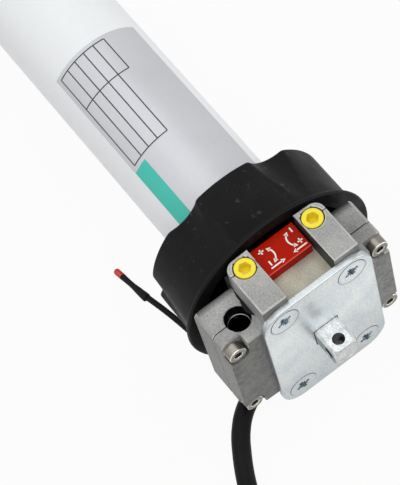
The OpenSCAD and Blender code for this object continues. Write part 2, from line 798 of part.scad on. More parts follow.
module brake_body() color("#55585c") difference() {
    rod_x(x_brake - brake_l, x_brake, insert_r);
    rod_x(x_brake - brake_l - 1, x_brake - brake_coil_l, brake_room_r);
    rod_x(x_brake - brake_l - 1, x_brake - brake_wall, rotor_shaft_r + 1);
}

module brake_spring_plate() color("#8b9094")
    ring_x(x_brake_plate, x_brake_plate + brake_plate_l, brake_plate_r, rotor_shaft_r + 1);

module brake_disc() color("#3b3632") difference() {
    union() {
        rod_x(x_brake_disc, x_brake_disc + brake_disc_l, brake_disc_r);
        rod_x(x_brake_disc - brake_hub_l, x_brake_disc, brake_hub_r);
    }
    rod_x(x_brake_disc - brake_hub_l - 1, x_brake, rotor_shaft_r);
}

// Motor

module rear_shield() color("#b4b6b8") ring_x(x_motor - shield_l, x_motor, insert_r, bush_r);

module front_shield() color("#b4b6b8") ring_x(x_motor_end, x_motor_end + shield_l, insert_r, bush_r);

module motor_bushes() color("#a9783f") for (x = [x_motor - shield_l, x_motor_end])
    ring_x(x, x + shield_l, bush_r, rotor_shaft_r + bush_run);

module stator_slots(r0, r1, half) for (i = [0 : slots - 1]) rotate(360 * i / slots)
    translate([r0, -half]) square([r1 - r0, 2 * half]);

module stator_core() color("#6b7076") on_x(x_stator - stator_l) linear_extrude(stator_l) difference() {
    circle(insert_r);
    circle(stator_bore_r);
    stator_slots(slot_in_r, slot_out_r, slot_half);
}

module stator_winding() color("#b3672a") {
    on_x(x_stator - stator_l - 2) linear_extrude(stator_l + 4)
        stator_slots(slot_in_r + slot_liner, slot_out_r - slot_liner, slot_half - slot_liner);
    for (x = [x_stator + 1, x_stator - stator_l - overhang + 3])
        ring_x(x, x + overhang - 4, slot_out_r - slot_liner, slot_in_r + slot_liner);
}

module rotor() color("#8e9297") {
    rod_x(x_stator - stator_l, x_stator, rotor_r);
    rod_x(x_gearbox - planet_w - stage_gap, x_brake_disc + brake_disc_l / 2, rotor_shaft_r);
    on_x(x_gearbox - planet_w) linear_extrude(planet_w) spur(sun_teeth, gear_module, gear_thin);
}

// Planetary gearbox

module ring_gear() color("#8c9095") on_x(x_ring_end) linear_extrude(x_gearbox - x_ring_end) difference() {
    circle(insert_r);
    ring_space(ring_teeth, gear_module, gear_thin);
}

function stage_x(stage) = x_gearbox - stage_gap - stage * stage_l;

module planet(stage, i) {
    a = 360 * i / planets;
    color("#a3a7ab") on_x(stage_x(stage) - planet_w) rotate(a) translate([planet_orbit, 0, 0]) rotate(-a)
        linear_extrude(planet_w) difference() {
            rotate(a * (1 - ring_teeth / planet_teeth)) spur(planet_teeth, gear_module, gear_thin);
            circle(planet_pin_r + fit_gap);
        }
}

// Plate with three planet pins, and the next stage's sun or the output shaft
module carrier(stage) color("#7d8287") {
    x = stage_x(stage) - planet_w - stage_gap;
    rod_x(x - carrier_t, x, carrier_r);
    for (i = [0 : planets - 1]) on_x(x - touch) rotate(360 * i / planets) translate([planet_orbit, 0, 0])
        cylinder(h = planet_w + stage_gap, r = planet_pin_r);
    if (stage < stages - 1)
        on_x(x - carrier_t - stage_gap - planet_w) linear_extrude(planet_w + stage_gap + touch)
            spur(sun_teeth, gear_module, gear_thin);
    else
        output_shaft(x - carrier_t);
}

module output_shaft(x) difference() {
    rod_x(x_output_end, x + touch, output_r);
    for (s = [-1, 1]) box([x_output_end - 1, -output_r - 1, s > 0 ? output_r - output_flat : -output_r - 1],
        [x_tube_end - 1, output_r + 1, s > 0 ? output_r + 1 : -output_r + output_flat]);
    ring_x(x_clip, x_wheel_end, output_r + 1, clip_groove_r);
}

module first_carrier() carrier(0);

module second_carrier() carrier(1);

module third_carrier() carrier(2);

module gearbox_cover() color("#9a9ea2") ring_x(x_cover_end, x_ring_end, insert_r, output_r + bush_wall);

module output_bush() color("#a9783f")
    ring_x(x_cover_end, x_ring_end, output_r + bush_wall, output_r + fit_gap);

module end_cap() color("#26272a") difference() {
    union() {
        rod_x(x_tube_end, x_cover_end, insert_r);
        rod_x(x_tube_end - cap_rim, x_tube_end, tube_r);
    }
    rod_x(x_tube_end - cap_rim - 1, x_cover_end, output_r + cap_room);
}

// Drive wheel, pushed onto the flats of the output shaft

module drive_wheel() color("#202123") difference() {
    union() {
        ring_x(x_wheel_end, x_wheel, drive_wheel_r, drive_wheel_r - wheel_rim);
        rod_x(x_wheel_end, x_wheel, wheel_hub_r);
        on_x(x_wheel_end) linear_extrude(drive_wheel_l) for (i = [0 : flutes - 1])
            rotate(360 * (i + 0.5) / flutes) translate([wheel_hub_r - 1, -spoke_t / 2])
                square([drive_wheel_r - wheel_rim - wheel_hub_r + 2, spoke_t]);
    }
    for (i = [0 : flutes - 1]) on_x(x_wheel_end - 1) rotate(360 * i / flutes)
        translate([drive_wheel_r - flute_depth + flute_r, 0, 0])
            cylinder(h = drive_wheel_l + 2, r = flute_r);
    intersection() {
        rod_x(x_wheel_end - 1, x_wheel + 1, output_r + fit_gap);
        box([x_wheel_end - 2, -output_d, -output_r + output_flat - fit_gap],
            [x_wheel + 2, output_d, output_r - output_flat + fit_gap]);
    }
}

module wheel_clip() color("#8d9195") on_x(x_clip) linear_extrude(clip_t) difference() {
    circle(clip_r);
    circle(clip_groove_r);
    translate([-clip_mouth / 2, -clip_r - 1]) square([clip_mouth, clip_r]);
}

// Mains cable

// Ribbed rubber gland round the cable
module cable_gland() color("#141416") difference() {
    union() {
        at_outlet(-gland_inside) cylinder(h = gland_inside + touch, r = gland_root_r);
        at_outlet(0) cylinder(h = gland_outside, r1 = gland_root_r, r2 = gland_tip_r);
    }
    at_outlet(-gland_inside - 1) cylinder(h = gland_inside + gland_outside + 2, r = cable_r);
    for (i = [1 : 3]) at_outlet(gland_pitch * i + 1) difference() {
        cylinder(h = gland_groove, r = gland_root_r + 1);
        translate([0, 0, -1]) cylinder(h = gland_groove + 2, r = cable_r + gland_skin);
    }
}

module mains_cable() color("#19191b") tube(cable_route, cable_r, 8, start = outlet_way, end = [1, 0, 0]);

function ease(u) = u <= 0 ? 0 : u >= 1 ? 1 : u * u * (3 - 2 * u);
function coil_radius(s) =
    let (k = min(floor(s / coil_turns), 3), f = s - k * coil_turns)
        k % 2 == 0 ? coil_r_out - coil_step * f : coil_r_in + coil_step * f;
function coil_height(s) = coil_z + coil_layer * (ease((s - coil_turns) * 2 + 0.5)
    + ease((s - 2 * coil_turns) * 2 + 0.5) + ease((s - 3 * coil_turns) * 2 + 0.5));
function coil_point(s) = let (r = coil_radius(s))
    [coil_c.x + r * sin(360 * s), coil_c.y - r * cos(360 * s), coil_height(s)];
coil_route = [for (i = [0 : coil_end * loop_rings]) coil_point(i / loop_rings)];

module cable_coil() color("#19191b") tube(coil_route, cable_r, 6, start = [1, 0, 0], end = [1, 0, 0]);

module coil_tie() color("#2a2a2d") {
    low = [coil_c.y + coil_r_in - cable_r - 0.5, floor_z + coil_tie_t];
    high = [coil_c.y + coil_r_out + cable_r + 0.5, coil_z + 3 * coil_layer + cable_r + 0.4];
    t = [coil_tie_t, coil_tie_t];
    on_x(coil_c.x - 3) linear_extrude(6) difference() {
        round_rect(low - t, high + t, 3);
        round_rect(low, high, 2);
    }
}

// Stripped end: three cores, each with its ferrule
core_start = coil_point(coil_end);

function core_end(i) = core_start + [core_l, core_spread * core_pitch * i, -core_drop];

module core(i) {
    a = core_start + [0, core_pitch * i, 0];
    b = (2 * a + core_end(i)) / 3 + [0, 0, core_drop / 6];
    tube([a, b, core_end(i)], core_r, 8, start = [1, 0, 0], end = [1, 0, 0]);
}

module brown_core() color("#5b3a22") core(-1);

module blue_core() color("#1f4f9a") core(0);

module earth_core() color("#4f8a2f") core(1);

module core_ferrules() color("#c8cbce") for (i = [-1 : 1]) translate(core_end(i)) rotate([0, 90, 0]) {
    cylinder(h = ferrule_collar, r = core_r + 0.4);
    translate([0, 0, ferrule_collar - touch]) cylinder(h = ferrule_l - ferrule_collar, r = core_r - 0.2);
}

// Aerial lead

module at_aerial_end(d) translate(aerial_end) rotate([0, 90, aerial_turn]) translate([0, 0, d]) children();

module aerial_grommet() color("#141416") difference() {
    union() {
        at_aerial_exit(-grommet_inside) cylinder(h = grommet_inside + touch, r = grommet_r);
        at_aerial_exit(0) cylinder(h = grommet_flange_t, r = grommet_flange_r);
    }
    at_aerial_exit(-grommet_inside - 1) cylinder(h = grommet_inside + 3, r = aerial_r);
}

module aerial_lead() color("#19191b")
    tube(aerial_route, aerial_r, 8, start = [0, -1, 0], end = [cos(aerial_turn), sin(aerial_turn), 0]);

// Shrunk sleeve, thick where it grips the lead, with a waist before the tip
module aerial_sleeve() color("#222224") at_aerial_end(0) {
    cylinder(h = aerial_waist_l, r1 = aerial_sleeve_r, r2 = aerial_r);
    translate([0, 0, aerial_waist_l - touch])
        cylinder(h = aerial_sleeve_l - aerial_waist_l + touch, r1 = aerial_r, r2 = aerial_mouth_r);
}

module aerial_tip() color("#c4261a") at_aerial_end(aerial_sleeve_l) {
    cylinder(h = aerial_tip_l - aerial_tip_r, r = aerial_tip_r);
    translate([0, 0, aerial_tip_l - aerial_tip_r]) sphere(aerial_tip_r);
}

// Lengths and the coil's least gap, for the maker
function run(path) = len(path) < 2 ? 0 : let (d = [for (i = [1 : len(path) - 1]) norm(path[i] - path[i - 1])])
    d * [for (i = d) 1];
coil_gap = min([
    for (i = [0 : len(coil_route) - 1], j = [i + loop_rings / 2 : len(coil_route) - 1])
        norm(coil_route[i] - coil_route[j])
]) - cable_d;
echo(cable_length = run(cable_route) + run(coil_route), coil_gap = coil_gap);

front_housing();
rear_housing();
mounting_plate();
bracket_pin();
plate_screws();
housing_screws();
direction_block();
left_adjuster();
right_adjuster();
limit_pinion();
limit_cams();
limit_switches();
worm_shaft();
worm_wheel();
crown();
crown_circlip();
tube_neck();
motor_tube();
board_carrier();
receiver_board();
capacitor();
brake_body();
brake_spring_plate();
brake_disc();
rear_shield();
front_shield();
motor_bushes();
stator_core();
stator_winding();
rotor();
ring_gear();
for (stage = [0 : stages - 1], i = [0 : planets - 1]) {
    name = str(["first", "second", "third"][stage], "_planet_", ["a", "b", "c"][i]);
    planet(stage, i);
}
first_carrier();
second_carrier();
third_carrier();
gearbox_cover();
output_bush();
end_cap();
drive_wheel();
wheel_clip();
cable_gland();
mains_cable();
cable_coil();
coil_tie();
brown_core();
blue_core();
earth_core();
core_ferrules();
aerial_grommet();
aerial_lead();
aerial_sleeve();
aerial_tip();
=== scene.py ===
"""Looks of a tubular roller blind motor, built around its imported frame."""

import math

import bmesh
import bpy
from mathutils import Matrix, Vector
from mathutils.bvhtree import BVHTree
from mathutils.geometry import convex_hull_2d, intersect_point_line


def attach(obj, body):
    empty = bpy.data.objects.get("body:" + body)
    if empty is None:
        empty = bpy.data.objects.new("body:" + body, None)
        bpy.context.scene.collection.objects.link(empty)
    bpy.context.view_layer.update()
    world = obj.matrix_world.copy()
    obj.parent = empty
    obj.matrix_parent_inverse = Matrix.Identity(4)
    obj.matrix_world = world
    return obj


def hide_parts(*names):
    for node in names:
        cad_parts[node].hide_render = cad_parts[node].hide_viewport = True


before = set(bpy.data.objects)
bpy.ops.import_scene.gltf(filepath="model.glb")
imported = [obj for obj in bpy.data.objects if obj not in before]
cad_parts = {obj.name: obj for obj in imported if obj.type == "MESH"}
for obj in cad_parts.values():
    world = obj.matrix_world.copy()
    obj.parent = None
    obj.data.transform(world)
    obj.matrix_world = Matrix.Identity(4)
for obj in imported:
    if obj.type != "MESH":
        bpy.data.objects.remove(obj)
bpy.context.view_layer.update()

bl_info = {
    "name": "Tubular blind motor",
    "version": (1, 0, 0),
    "blender": (4, 5, 0),
    "location": "View3D > Sidebar > Blind motor",
    "description": "Dresses the packed frame of a tubular roller blind motor",
    "category": "Object",
}

MM = 0.001

# Camera that was fitted to the photograph: place in millimetres, focal length and height in pixels
CAMERA_PLACE = Vector((303.8, -137.9, 714.3))
CAMERA_FORWARD = Vector((-0.446, 0.153, -0.882))
CAMERA_RIGHT = Vector((0.584, 0.796, -0.158))
FOCAL_LENGTH = 2236.74
PHOTO_HEIGHT = 485
SENSOR_HEIGHT = 36.0

# Share of the floor's own glow in what the camera sees, and strength of the world's light
FLOOR_GLOW = 0.94
WORLD_LIGHT = 0.4

# Where the values of one noise texture lie, those of two added up, and the few highest of one
ONE_NOISE = {"From Min": 0.3, "From Max": 0.7}
TWO_NOISES = {"From Min": 0.65, "From Max": 1.35}
NOISE_PEAKS = {"From Min": 0.66, "From Max": 0.74}

# An edge that turns by more than this is sharp
SHARP = math.radians(32)

# Points on one turn of the coil
COIL_STEPS = 24

# Places and sizes on the motor, in millimetres, and turns in radians
FLOOR_Z = -40.0
FLOOR_DROP = 0.05
TUBE_R = 22.5
SIGN_TOP = 33.0
RECESS_FLOOR = 28.0
BOSS_INNER = 10.0
BOSS_OUTER = 20.5
BOSS_SEAM = -20.5
SIDE_SEAM = -12.3
FRONT_X = -2.5
LEFT_Y = -37.0
CROWN_SIDE = -23.6
BLOCK_TOP = 26.0
SEAT_X = -7.0
SEAT_R = 4.3
SEAT_RIM = 0.6
SEAT_PROUD = 0.02
SLIT_THICKNESS = 0.04
ADJUSTER_Y = 14.6
ADJUSTER_R = 3.9
CRANK = Vector((SIDE_SEAM, -25.9, 20.2))
CRANK_HOLE_R = 4.9
CRANK_MOUTH = 25.4
PIN_HOLE = Vector((7.4, 0, 0))
PIN_HOLE_R = 2.3
PIN_HALF = 5.0
PLATE_SCREW_Y = 14.5
PLATE_SCREW_Z = 27.3
PLATE_SCREW_R = 5.8
SCREW_YS = (-33.2, 28.6)
SCREW_Z = 21.2
SCREW_HEAD_X = -3.0
SCREW_SOCKET_R = 2.4
RECESS_X = -0.25
OUTLET = Vector((-15.0, -20.5, -32.0))
OUTLET_TURN = math.radians(-67)
GLAND_INSIDE = 8.5
GLAND_OUTSIDE = 12.0
CABLE_R = 3.6
CABLE_SIDE = -57.1
COIL_X = 112.0
TIE_R = 3.65
TIE_WIDTH = 6.0
TIE_THICKNESS = 1.1
TIE_LOCK = (8.4, 5.2, 4.0)
CORE_R = 1.1
CORE_LENGTH = 30
CORE_PITCH = 2.3
CORE_FAN = 1.4
CORE_DROP = 2.6
STRIPE_PITCH = 5.236
AERIAL_R = 1.2
AERIAL_EXIT = Vector((-23.6, -20.5, -33.0))
AERIAL_END = Vector((-71, -36.7, FLOOR_Z + 1.7))
SIGN_X = -20.9
SIGN_R = 3.5
SIGN_YS = (-6.0, 7.1)
PLUS_LENGTH = 2.1
MINUS_LENGTH = 2.0
ARROW_X = -16.4
ARROW_R = 1.0
RUBBER_EDGE = 0.15
RECESS_EDGE = 0.18
CRANK_EDGE = 0.25

# Label and its band: ends along the tube in millimetres, and sides in degrees from the tube's top
LABEL_ENDS = (-140, -56)
LABEL_SIDES = (-52, 52)
BAND_ENDS = (-88.4, -56)
BAND_SIDES = (-51.6, -33.8)


def linear(code):
    """Linear colour of an sRGB hex value."""
    parts = [int(code[i : i + 2], 16) / 255 for i in (1, 3, 5)]
    bright = [p / 12.92 if p <= 0.04045 else ((p + 0.055) / 1.055) ** 2.4 for p in parts]
    return (*bright, 1.0)


def colour(name, about, code):
    """Colour property with an sRGB default."""
    return bpy.props.FloatVectorProperty(
        name=name, description=about, subtype="COLOR", size=4, min=0, max=1, default=linear(code)
    )


def length(name, about, size):
    """Length property with a default in millimetres."""
    return bpy.props.FloatProperty(name=name, description=about, default=size * MM, min=0, unit="LENGTH")


class MotorSizes(bpy.types.PropertyGroup):
    """Sizes that the looks add to the frame."""

    casting_edge: length("Casting edge", "Radius of the castings' edges", 0.55)
    plate_edge: length("Plate edge", "Radius of the plate's edges", 0.35)
    pin_edge: length("Pin edge", "Radius of the square pin's edges", 0.2)
    crown_edge: length("Crown edge", "Radius of the crown's and drive wheel's edges", 0.9)
    plastic_edge: length("Plastic edge", "Radius of the adjusters' and direction block's edges", 0.35)
    screw_edge: length("Screw edge", "Radius of the screws' edges", 0.3)
    cable_diameter: length("Cable diameter", "Outer diameter of the mains cable", 7.2)
    aerial_diameter: length("Aerial diameter", "Outer diameter of the aerial lead", 2.4)
    label_foil: length("Label foil", "Thickness of the label on the tube", 0.08)
    sign_print: length("Sign print", "Thickness of the direction signs' print", 0.05)
    sign_line: length("Sign line", "Width of the direction signs' lines", 0.55)


class MotorColours(bpy.types.PropertyGroup):
    """Colours of the finishes."""

    casting: colour("Casting", "Die-cast zinc alloy", "#a1a19e")
    recess: colour("Recess floor", "Casting stained by its chromate bath", "#b4b0a0")
    zinc: colour("Zinc plate", "Bright zinc plating", "#dfe6e8")
    nickel: colour("Nickel", "Nickel-plated socket screws", "#827e77")
    crown: colour("Crown", "Black glass-filled polyamide", "#101011")
    tube: colour("Tube", "White powder coat", "#eef0f1")
    label: colour("Label", "Silver-grey label foil", "#c3c4c8")
    band: colour("Label band", "Plain green band on the label", "#38bfae")
    adjuster: colour("Adjusters", "Yellow acetal", "#f2de30")
    sign_block: colour("Direction block", "Red moulded plastic", "#ad1a04")
    cable: colour("Cable", "Black cable sheath", "#0a0a0b")
    tip: colour("Aerial tip", "Red sealed tip", "#c8281c")
    floor: colour("Floor", "Pale studio floor", "#d0d0d0")


def settings(context):
    """Sizes and colours that are set on the scene."""
    return context.scene.motor_sizes, context.scene.motor_colours


def add(tree, kind, inputs=None, **options):
    """Add a shader node, set it, and fill or link its inputs."""
    made = tree.nodes.new(kind)
    for key, value in options.items():
        setattr(made, key, value)
    for key, value in (inputs or {}).items():
        if isinstance(value, bpy.types.NodeSocket):
            tree.links.new(value, made.inputs[key])
        else:
            made.inputs[key].default_value = value
    return made


def blank(name):
    """New material with an empty node tree."""
    made = bpy.data.materials.new(name)
    made.use_nodes = True
    made.node_tree.nodes.clear()
    return made, made.node_tree


def shade(tone, factor, warm=0.0):
    """A colour made lighter or darker by a factor, and warmer or colder by a share."""
    parts = (tone[0] * (1 + warm), tone[1], tone[2] * (1 - warm))
    return (*(min(1.0, c * factor) for c in parts), 1.0)


def surface(
    name, tone, spread, rough, grain=0.6, cloud=6, dent=0.02, metal=0.0, shine=0.5, warm=0.0,
    fade=None, scuffs=None,
):
    """Material whose colour varies by a spread, in grains and clouds of a size in millimetres.

    Rough is the least and most roughness, and dent the depth of the grains in millimetres.
    A fade of (axis, low, high, share) darkens the colour to a share towards the low end.
    Scuffs of (size, tone) are few small marks of another colour.
    """
    made, tree = blank(name)
    place = add(tree, "ShaderNodeTexCoord").outputs["Object"]
    grains = {"Vector": place, "Scale": 1 / (grain * MM), "Detail": 3.0, "Roughness": 0.6}
    fine = add(tree, "ShaderNodeTexNoise", grains).outputs["Fac"]
    clouds = {"Vector": place, "Scale": 1 / (cloud * MM), "Detail": 2.0, "Roughness": 0.5}
    broad = add(tree, "ShaderNodeTexNoise", clouds).outputs["Fac"]
    both = add(tree, "ShaderNodeMath", {0: fine, 1: broad}, operation="ADD").outputs[0]
    share = add(tree, "ShaderNodeMapRange", {"Value": both, **TWO_NOISES}).outputs["Result"]
    mixed = {0: share, 6: shade(tone, 1 - spread, -warm), 7: shade(tone, 1 + spread, warm)}
    tint = add(tree, "ShaderNodeMix", mixed, data_type="RGBA").outputs[2]
    if fade:
        axis, low, high, least = fade
        along = add(tree, "ShaderNodeSeparateXYZ", {0: place}).outputs[axis]
        ends = {"From Min": low * MM, "From Max": high * MM, "To Min": least}
        depth = add(tree, "ShaderNodeMapRange", {"Value": along, **ends}).outputs["Result"]
        mixed = {0: 1.0, 6: tint, 7: depth}
        tint = add(tree, "ShaderNodeMix", mixed, data_type="RGBA", blend_type="MULTIPLY").outputs[2]
    if scuffs:
        size, mark = scuffs
        dots = {"Vector": place, "Scale": 1 / (size * MM), "Detail": 2.0, "Roughness": 0.5}
        found = add(tree, "ShaderNodeTexNoise", dots).outputs["Fac"]
        few = {"Value": found, **NOISE_PEAKS, "To Max": 0.8}
        worn = add(tree, "ShaderNodeMapRange", few).outputs["Result"]
        tint = add(tree, "ShaderNodeMix", {0: worn, 6: tint, 7: mark}, data_type="RGBA").outputs[2]
    ends = {"To Min": rough[0], "To Max": rough[1]}
    gloss = add(tree, "ShaderNodeMapRange", {"Value": broad, **ONE_NOISE, **ends}).outputs["Result"]
    bump = add(tree, "ShaderNodeBump", {"Height": fine, "Distance": dent * MM, "Strength": 0.8})
    skin = add(
        tree,
        "ShaderNodeBsdfPrincipled",
        {
            "Base Color": tint,
            "Roughness": gloss,
            "Normal": bump.outputs[0],
            "Metallic": metal,
            "Specular IOR Level": shine,
        },
    )
    add(tree, "ShaderNodeOutputMaterial", {"Surface": skin.outputs[0]})
    return made


def placed(name, data):
    """New object in the scene."""
    made = bpy.data.objects.new(name, data)
    bpy.context.scene.collection.objects.link(made)
    return made


def piece(name, bm, material, body, slot, *nodes, edge=None):
    """Object from a bmesh that rides on a body and stands for the named nodes."""
    mesh = bpy.data.meshes.new(name)
    bm.to_mesh(mesh)
    bm.free()
    mesh.shade_smooth()
    mesh.set_sharp_from_angle(angle=SHARP)
    mesh.materials.append(material)
    mesh.materials.append(edge or material)
    made = placed(name, mesh)
    flat = made.modifiers.new("weighted_normals", "WEIGHTED_NORMAL")
    flat.keep_sharp = True
    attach(made, body)
    if nodes:
        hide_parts(*nodes)
    return made


def paint(made, material, chosen, edges=False):
    """Give the faces, or rounded edges, whose middle in millimetres is chosen a further material."""
    made.data.materials.append(material)
    for face in made.data.polygons:
        if chosen(face.center / MM) and (face.material_index == 1 or not edges):
            face.material_index = len(made.data.materials) - 1


def all_faces():
    """Search tree of the faces of every CAD node."""
    verts, faces = [], []
    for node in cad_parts.values():
        first = len(verts)
        verts += [v.co for v in node.data.vertices]
        faces += [[first + i for i in f.vertices] for f in node.data.polygons]
    return BVHTree.FromPolygons(verts, faces)


FACES = all_faces()


def lies_open(edge, reach):
    """Tell whether an edge is sharp, points outwards and has nothing near in front of it."""
    if len(edge.link_faces) != 2 or not edge.is_convex:
        return False
    if edge.calc_face_angle(0) < SHARP:
        return False
    way = (edge.link_faces[0].normal + edge.link_faces[1].normal).normalized()
    middle = (edge.verts[0].co + edge.verts[1].co) / 2
    return FACES.ray_cast(middle + way * 0.05 * MM, way, reach * MM)[0] is None


def room(edge, sharp):
    """Free width beside an edge: its shortest neighbour, or half the way to an edge that faces it."""
    middle = (edge.verts[0].co + edge.verts[1].co) / 2
    along = (edge.verts[1].co - edge.verts[0].co).normalized()
    found = [k.calc_length() for v in edge.verts for k in v.link_edges if k not in sharp]
    others = {k for face in edge.link_faces for k in face.edges if k in sharp}
    for other in others:
        if set(other.verts) & set(edge.verts):
            continue
        first, last = (v.co for v in other.verts)
        share = intersect_point_line(middle, first, last)[1]
        gap = first.lerp(last, min(1.0, max(0.0, share))) - middle
        if abs(gap.normalized().dot(along)) < 0.5:
            found.append(gap.length / 2)
    return min(found, default=1.0)


def rounded(node, edge, reach):
    """Bmesh of a CAD node, its loose triangles joined and its open edges rounded in slot 1."""
    bm = bmesh.new()
    bm.from_mesh(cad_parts[node].data)
    bmesh.ops.remove_doubles(bm, verts=bm.verts, dist=0.002 * MM)
    bmesh.ops.dissolve_limit(bm, angle_limit=math.radians(0.05), verts=bm.verts, edges=bm.edges)
    bm.normal_update()
    sharp = {e for e in bm.edges if lies_open(e, reach)}
    new = bmesh.ops.bevel(
        bm,
        geom=[e for e in sharp if room(e, sharp) > 1.05 * edge],
        offset=edge,
        offset_type="OFFSET",
        affect="EDGES",
        segments=2,
        profile=0.5,
        material=-1,
        clamp_overlap=False,
    )
    for face in new["faces"]:
        face.material_index = 1
    bmesh.ops.remove_doubles(bm, verts=bm.verts, dist=0.001 * MM)
    bmesh.ops.dissolve_degenerate(bm, dist=0.001 * MM, edges=bm.edges)
    return bm


def recast(name, node, edge, material, body, slot, rim=None, reach=1.5):
    """Piece that stands for one CAD node and has its open edges rounded."""
    return piece(name, rounded(node, edge, reach), material, body, slot, node, edge=rim)


def dress(material, *nodes):
    """Give CAD nodes a finished material."""
    for name in nodes:
        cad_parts[name].material_slots[0].material = material


def thicken(bm, faces, way):
    """Extrude faces by a vector in metres and turn every face outwards."""
    new = bmesh.ops.extrude_face_region(bm, geom=faces)["geom"]
    tops = [v for v in new if isinstance(v, bmesh.types.BMVert)]
    bmesh.ops.translate(bm, verts=tops, vec=way)
    bmesh.ops.recalc_face_normals(bm, faces=bm.faces)


def spin_profile(bm, profile, place):
    """Turn a profile of (along, radius) points, in millimetres, round the local X axis."""
    verts = [bm.verts.new((a * MM, 0, r * MM)) for a, r in profile]
    edges = [bm.edges.new(pair) for pair in zip(verts, verts[1:])]
    bmesh.ops.spin(
        bm,
        geom=verts + edges,
        cent=(0, 0, 0),
        axis=(1, 0, 0),
        angle=math.tau,
        steps=32,
        use_merge=True,
    )
    bmesh.ops.remove_doubles(bm, verts=bm.verts, dist=0.001 * MM)
    bmesh.ops.recalc_face_normals(bm, faces=bm.faces)
    bmesh.ops.transform(bm, matrix=place, verts=bm.verts)


def cord_curve(name, points, radius, material, body):
    """Round cord on one smooth spline through points in millimetres."""
    data = bpy.data.curves.new(name, "CURVE")
    data.dimensions = "3D"
    data.bevel_depth = radius
    data.bevel_resolution = 5
    data.resolution_u = 3
    data.use_fill_caps = True
    spline = data.splines.new("BEZIER")
    spline.bezier_points.add(len(points) - 1)
    for knot, point in zip(spline.bezier_points, points):
        knot.co = Vector(point) * MM
        knot.handle_left_type = knot.handle_right_type = "AUTO"
    data.materials.append(material)
    made = placed(name, data)
    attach(made, body)
    return made


def ease(u):
    """Smooth step from nought to one."""
    u = min(1.0, max(0.0, u))
    return u * u * (3 - 2 * u)


def coil_points():
    """Four-layer coil of the spare cable, with the counts and sizes of the part's source."""
    turns, last, step, radius, tie = 2.6, 1.2, 7.7, 52.3, 1.2
    low = FLOOR_Z + tie + CABLE_R
    inner = radius - step * turns
    made = []
    count = round((3 * turns + last) * COIL_STEPS)
    for i in range(count + 1):
        s = i / COIL_STEPS
        layer = min(math.floor(s / turns + 1e-9), 3)
        part = s - layer * turns
        r = radius - step * part if layer % 2 == 0 else inner + step * part
        z = low + step * sum(ease((s - k * turns) * 2 + 0.5) for k in (1, 2, 3))
        a = math.tau * s
        made.append((COIL_X + r * math.sin(a), CABLE_SIDE + radius - r * math.cos(a), z))
    return made


class MOTOR_OT_stage(bpy.types.Operator):
    """Camera, lights, world and floor"""

    bl_idname = "blind_motor.stage"
    bl_label = "Stage"

    def execute(self, context):
        scene = context.scene
        scene.view_settings.view_transform = "Standard"
        self.camera(scene)
        self.floor(scene)
        self.world(scene)
        self.lamp("top_light", (0.15, -0.12, 1.15), 2.2, 13.5)
        self.lamp("left_light", (-0.55, -1.0, 0.6), 1.0, 1.0)
        self.lamp("right_light", (0.2, 1.2, 0.5), 1.0, 3.6)
        return {"FINISHED"}

    def camera(self, scene):
        """Camera where the photograph was taken."""
        forward = CAMERA_FORWARD.normalized()
        right = CAMERA_RIGHT.normalized()
        down = forward.cross(right).normalized()
        right = down.cross(forward)
        turn = Matrix((right, -down, -forward)).transposed().to_4x4()
        lens = bpy.data.cameras.new("photo_camera")
        lens.sensor_fit = "VERTICAL"
        lens.sensor_height = SENSOR_HEIGHT
        lens.lens = FOCAL_LENGTH * SENSOR_HEIGHT / PHOTO_HEIGHT
        lens.clip_end = 20.0
        made = placed("photo_camera", lens)
        made.matrix_world = Matrix.Translation(CAMERA_PLACE * MM) @ turn
        scene.camera = made

    def seen(self, tree):
        """One for camera, mirror and see-through rays."""
        path = add(tree, "ShaderNodeLightPath").outputs
        rays = {0: path["Is Camera Ray"], 1: path["Is Glossy Ray"]}
        mirror = add(tree, "ShaderNodeMath", rays, operation="MAXIMUM").outputs[0]
        rays = {0: mirror, 1: path["Is Transmission Ray"]}
        return add(tree, "ShaderNodeMath", rays, operation="MAXIMUM").outputs[0]

    def floor(self, scene):
        """Floor just under the lowest piece."""
        bm = bmesh.new()
        bmesh.ops.create_grid(bm, x_segments=1, y_segments=1, size=4.0)
        bmesh.ops.translate(bm, verts=bm.verts, vec=(0, 0, (FLOOR_Z - FLOOR_DROP) * MM))
        mesh = bpy.data.meshes.new("studio_floor")
        bm.to_mesh(mesh)
        bm.free()
        # Matt paper sweep: nearly white where seen, with the shadow still on it
        made, tree = blank("matt_paper_sweep")
        paper = add(tree, "ShaderNodeBsdfDiffuse", {"Color": scene.motor_colours.floor})
        glow = add(tree, "ShaderNodeEmission", {"Color": (1, 1, 1, 1), "Strength": 1.0})
        glowing = {0: self.seen(tree), 1: FLOOR_GLOW}
        share = add(tree, "ShaderNodeMath", glowing, operation="MULTIPLY").outputs[0]
        both = add(tree, "ShaderNodeMixShader", {0: share, 1: paper.outputs[0], 2: glow.outputs[0]})
        add(tree, "ShaderNodeOutputMaterial", {"Surface": both.outputs[0]})
        mesh.materials.append(made)
        placed("studio_floor", mesh)

    def world(self, scene):
        """Soft light from all round, white where it is seen."""
        world = bpy.data.worlds.new("studio_world")
        scene.world = world
        world.use_nodes = True
        tree = world.node_tree
        tree.nodes.clear()
        light = add(tree, "ShaderNodeBackground", {"Color": (0.97, 0.98, 1.0, 1), "Strength": WORLD_LIGHT})
        seen = add(tree, "ShaderNodeBackground", {"Color": (1, 1, 1, 1), "Strength": 1.0})
        both = add(
            tree, "ShaderNodeMixShader", {0: self.seen(tree), 1: light.outputs[0], 2: seen.outputs[0]}
        )
        add(tree, "ShaderNodeOutputWorld", {"Surface": both.outputs[0]})

    def lamp(self, name, place, size, power):
        """Round lamp that looks at the frame's origin."""
        data = bpy.data.lights.new(name, "AREA")
        data.shape = "DISK"
        data.size = size
        data.energy = power
        turn = Vector(place).to_track_quat("Z", "Y").to_matrix().to_4x4()
        placed(name, data).matrix_world = Matrix.Translation(place) @ turn


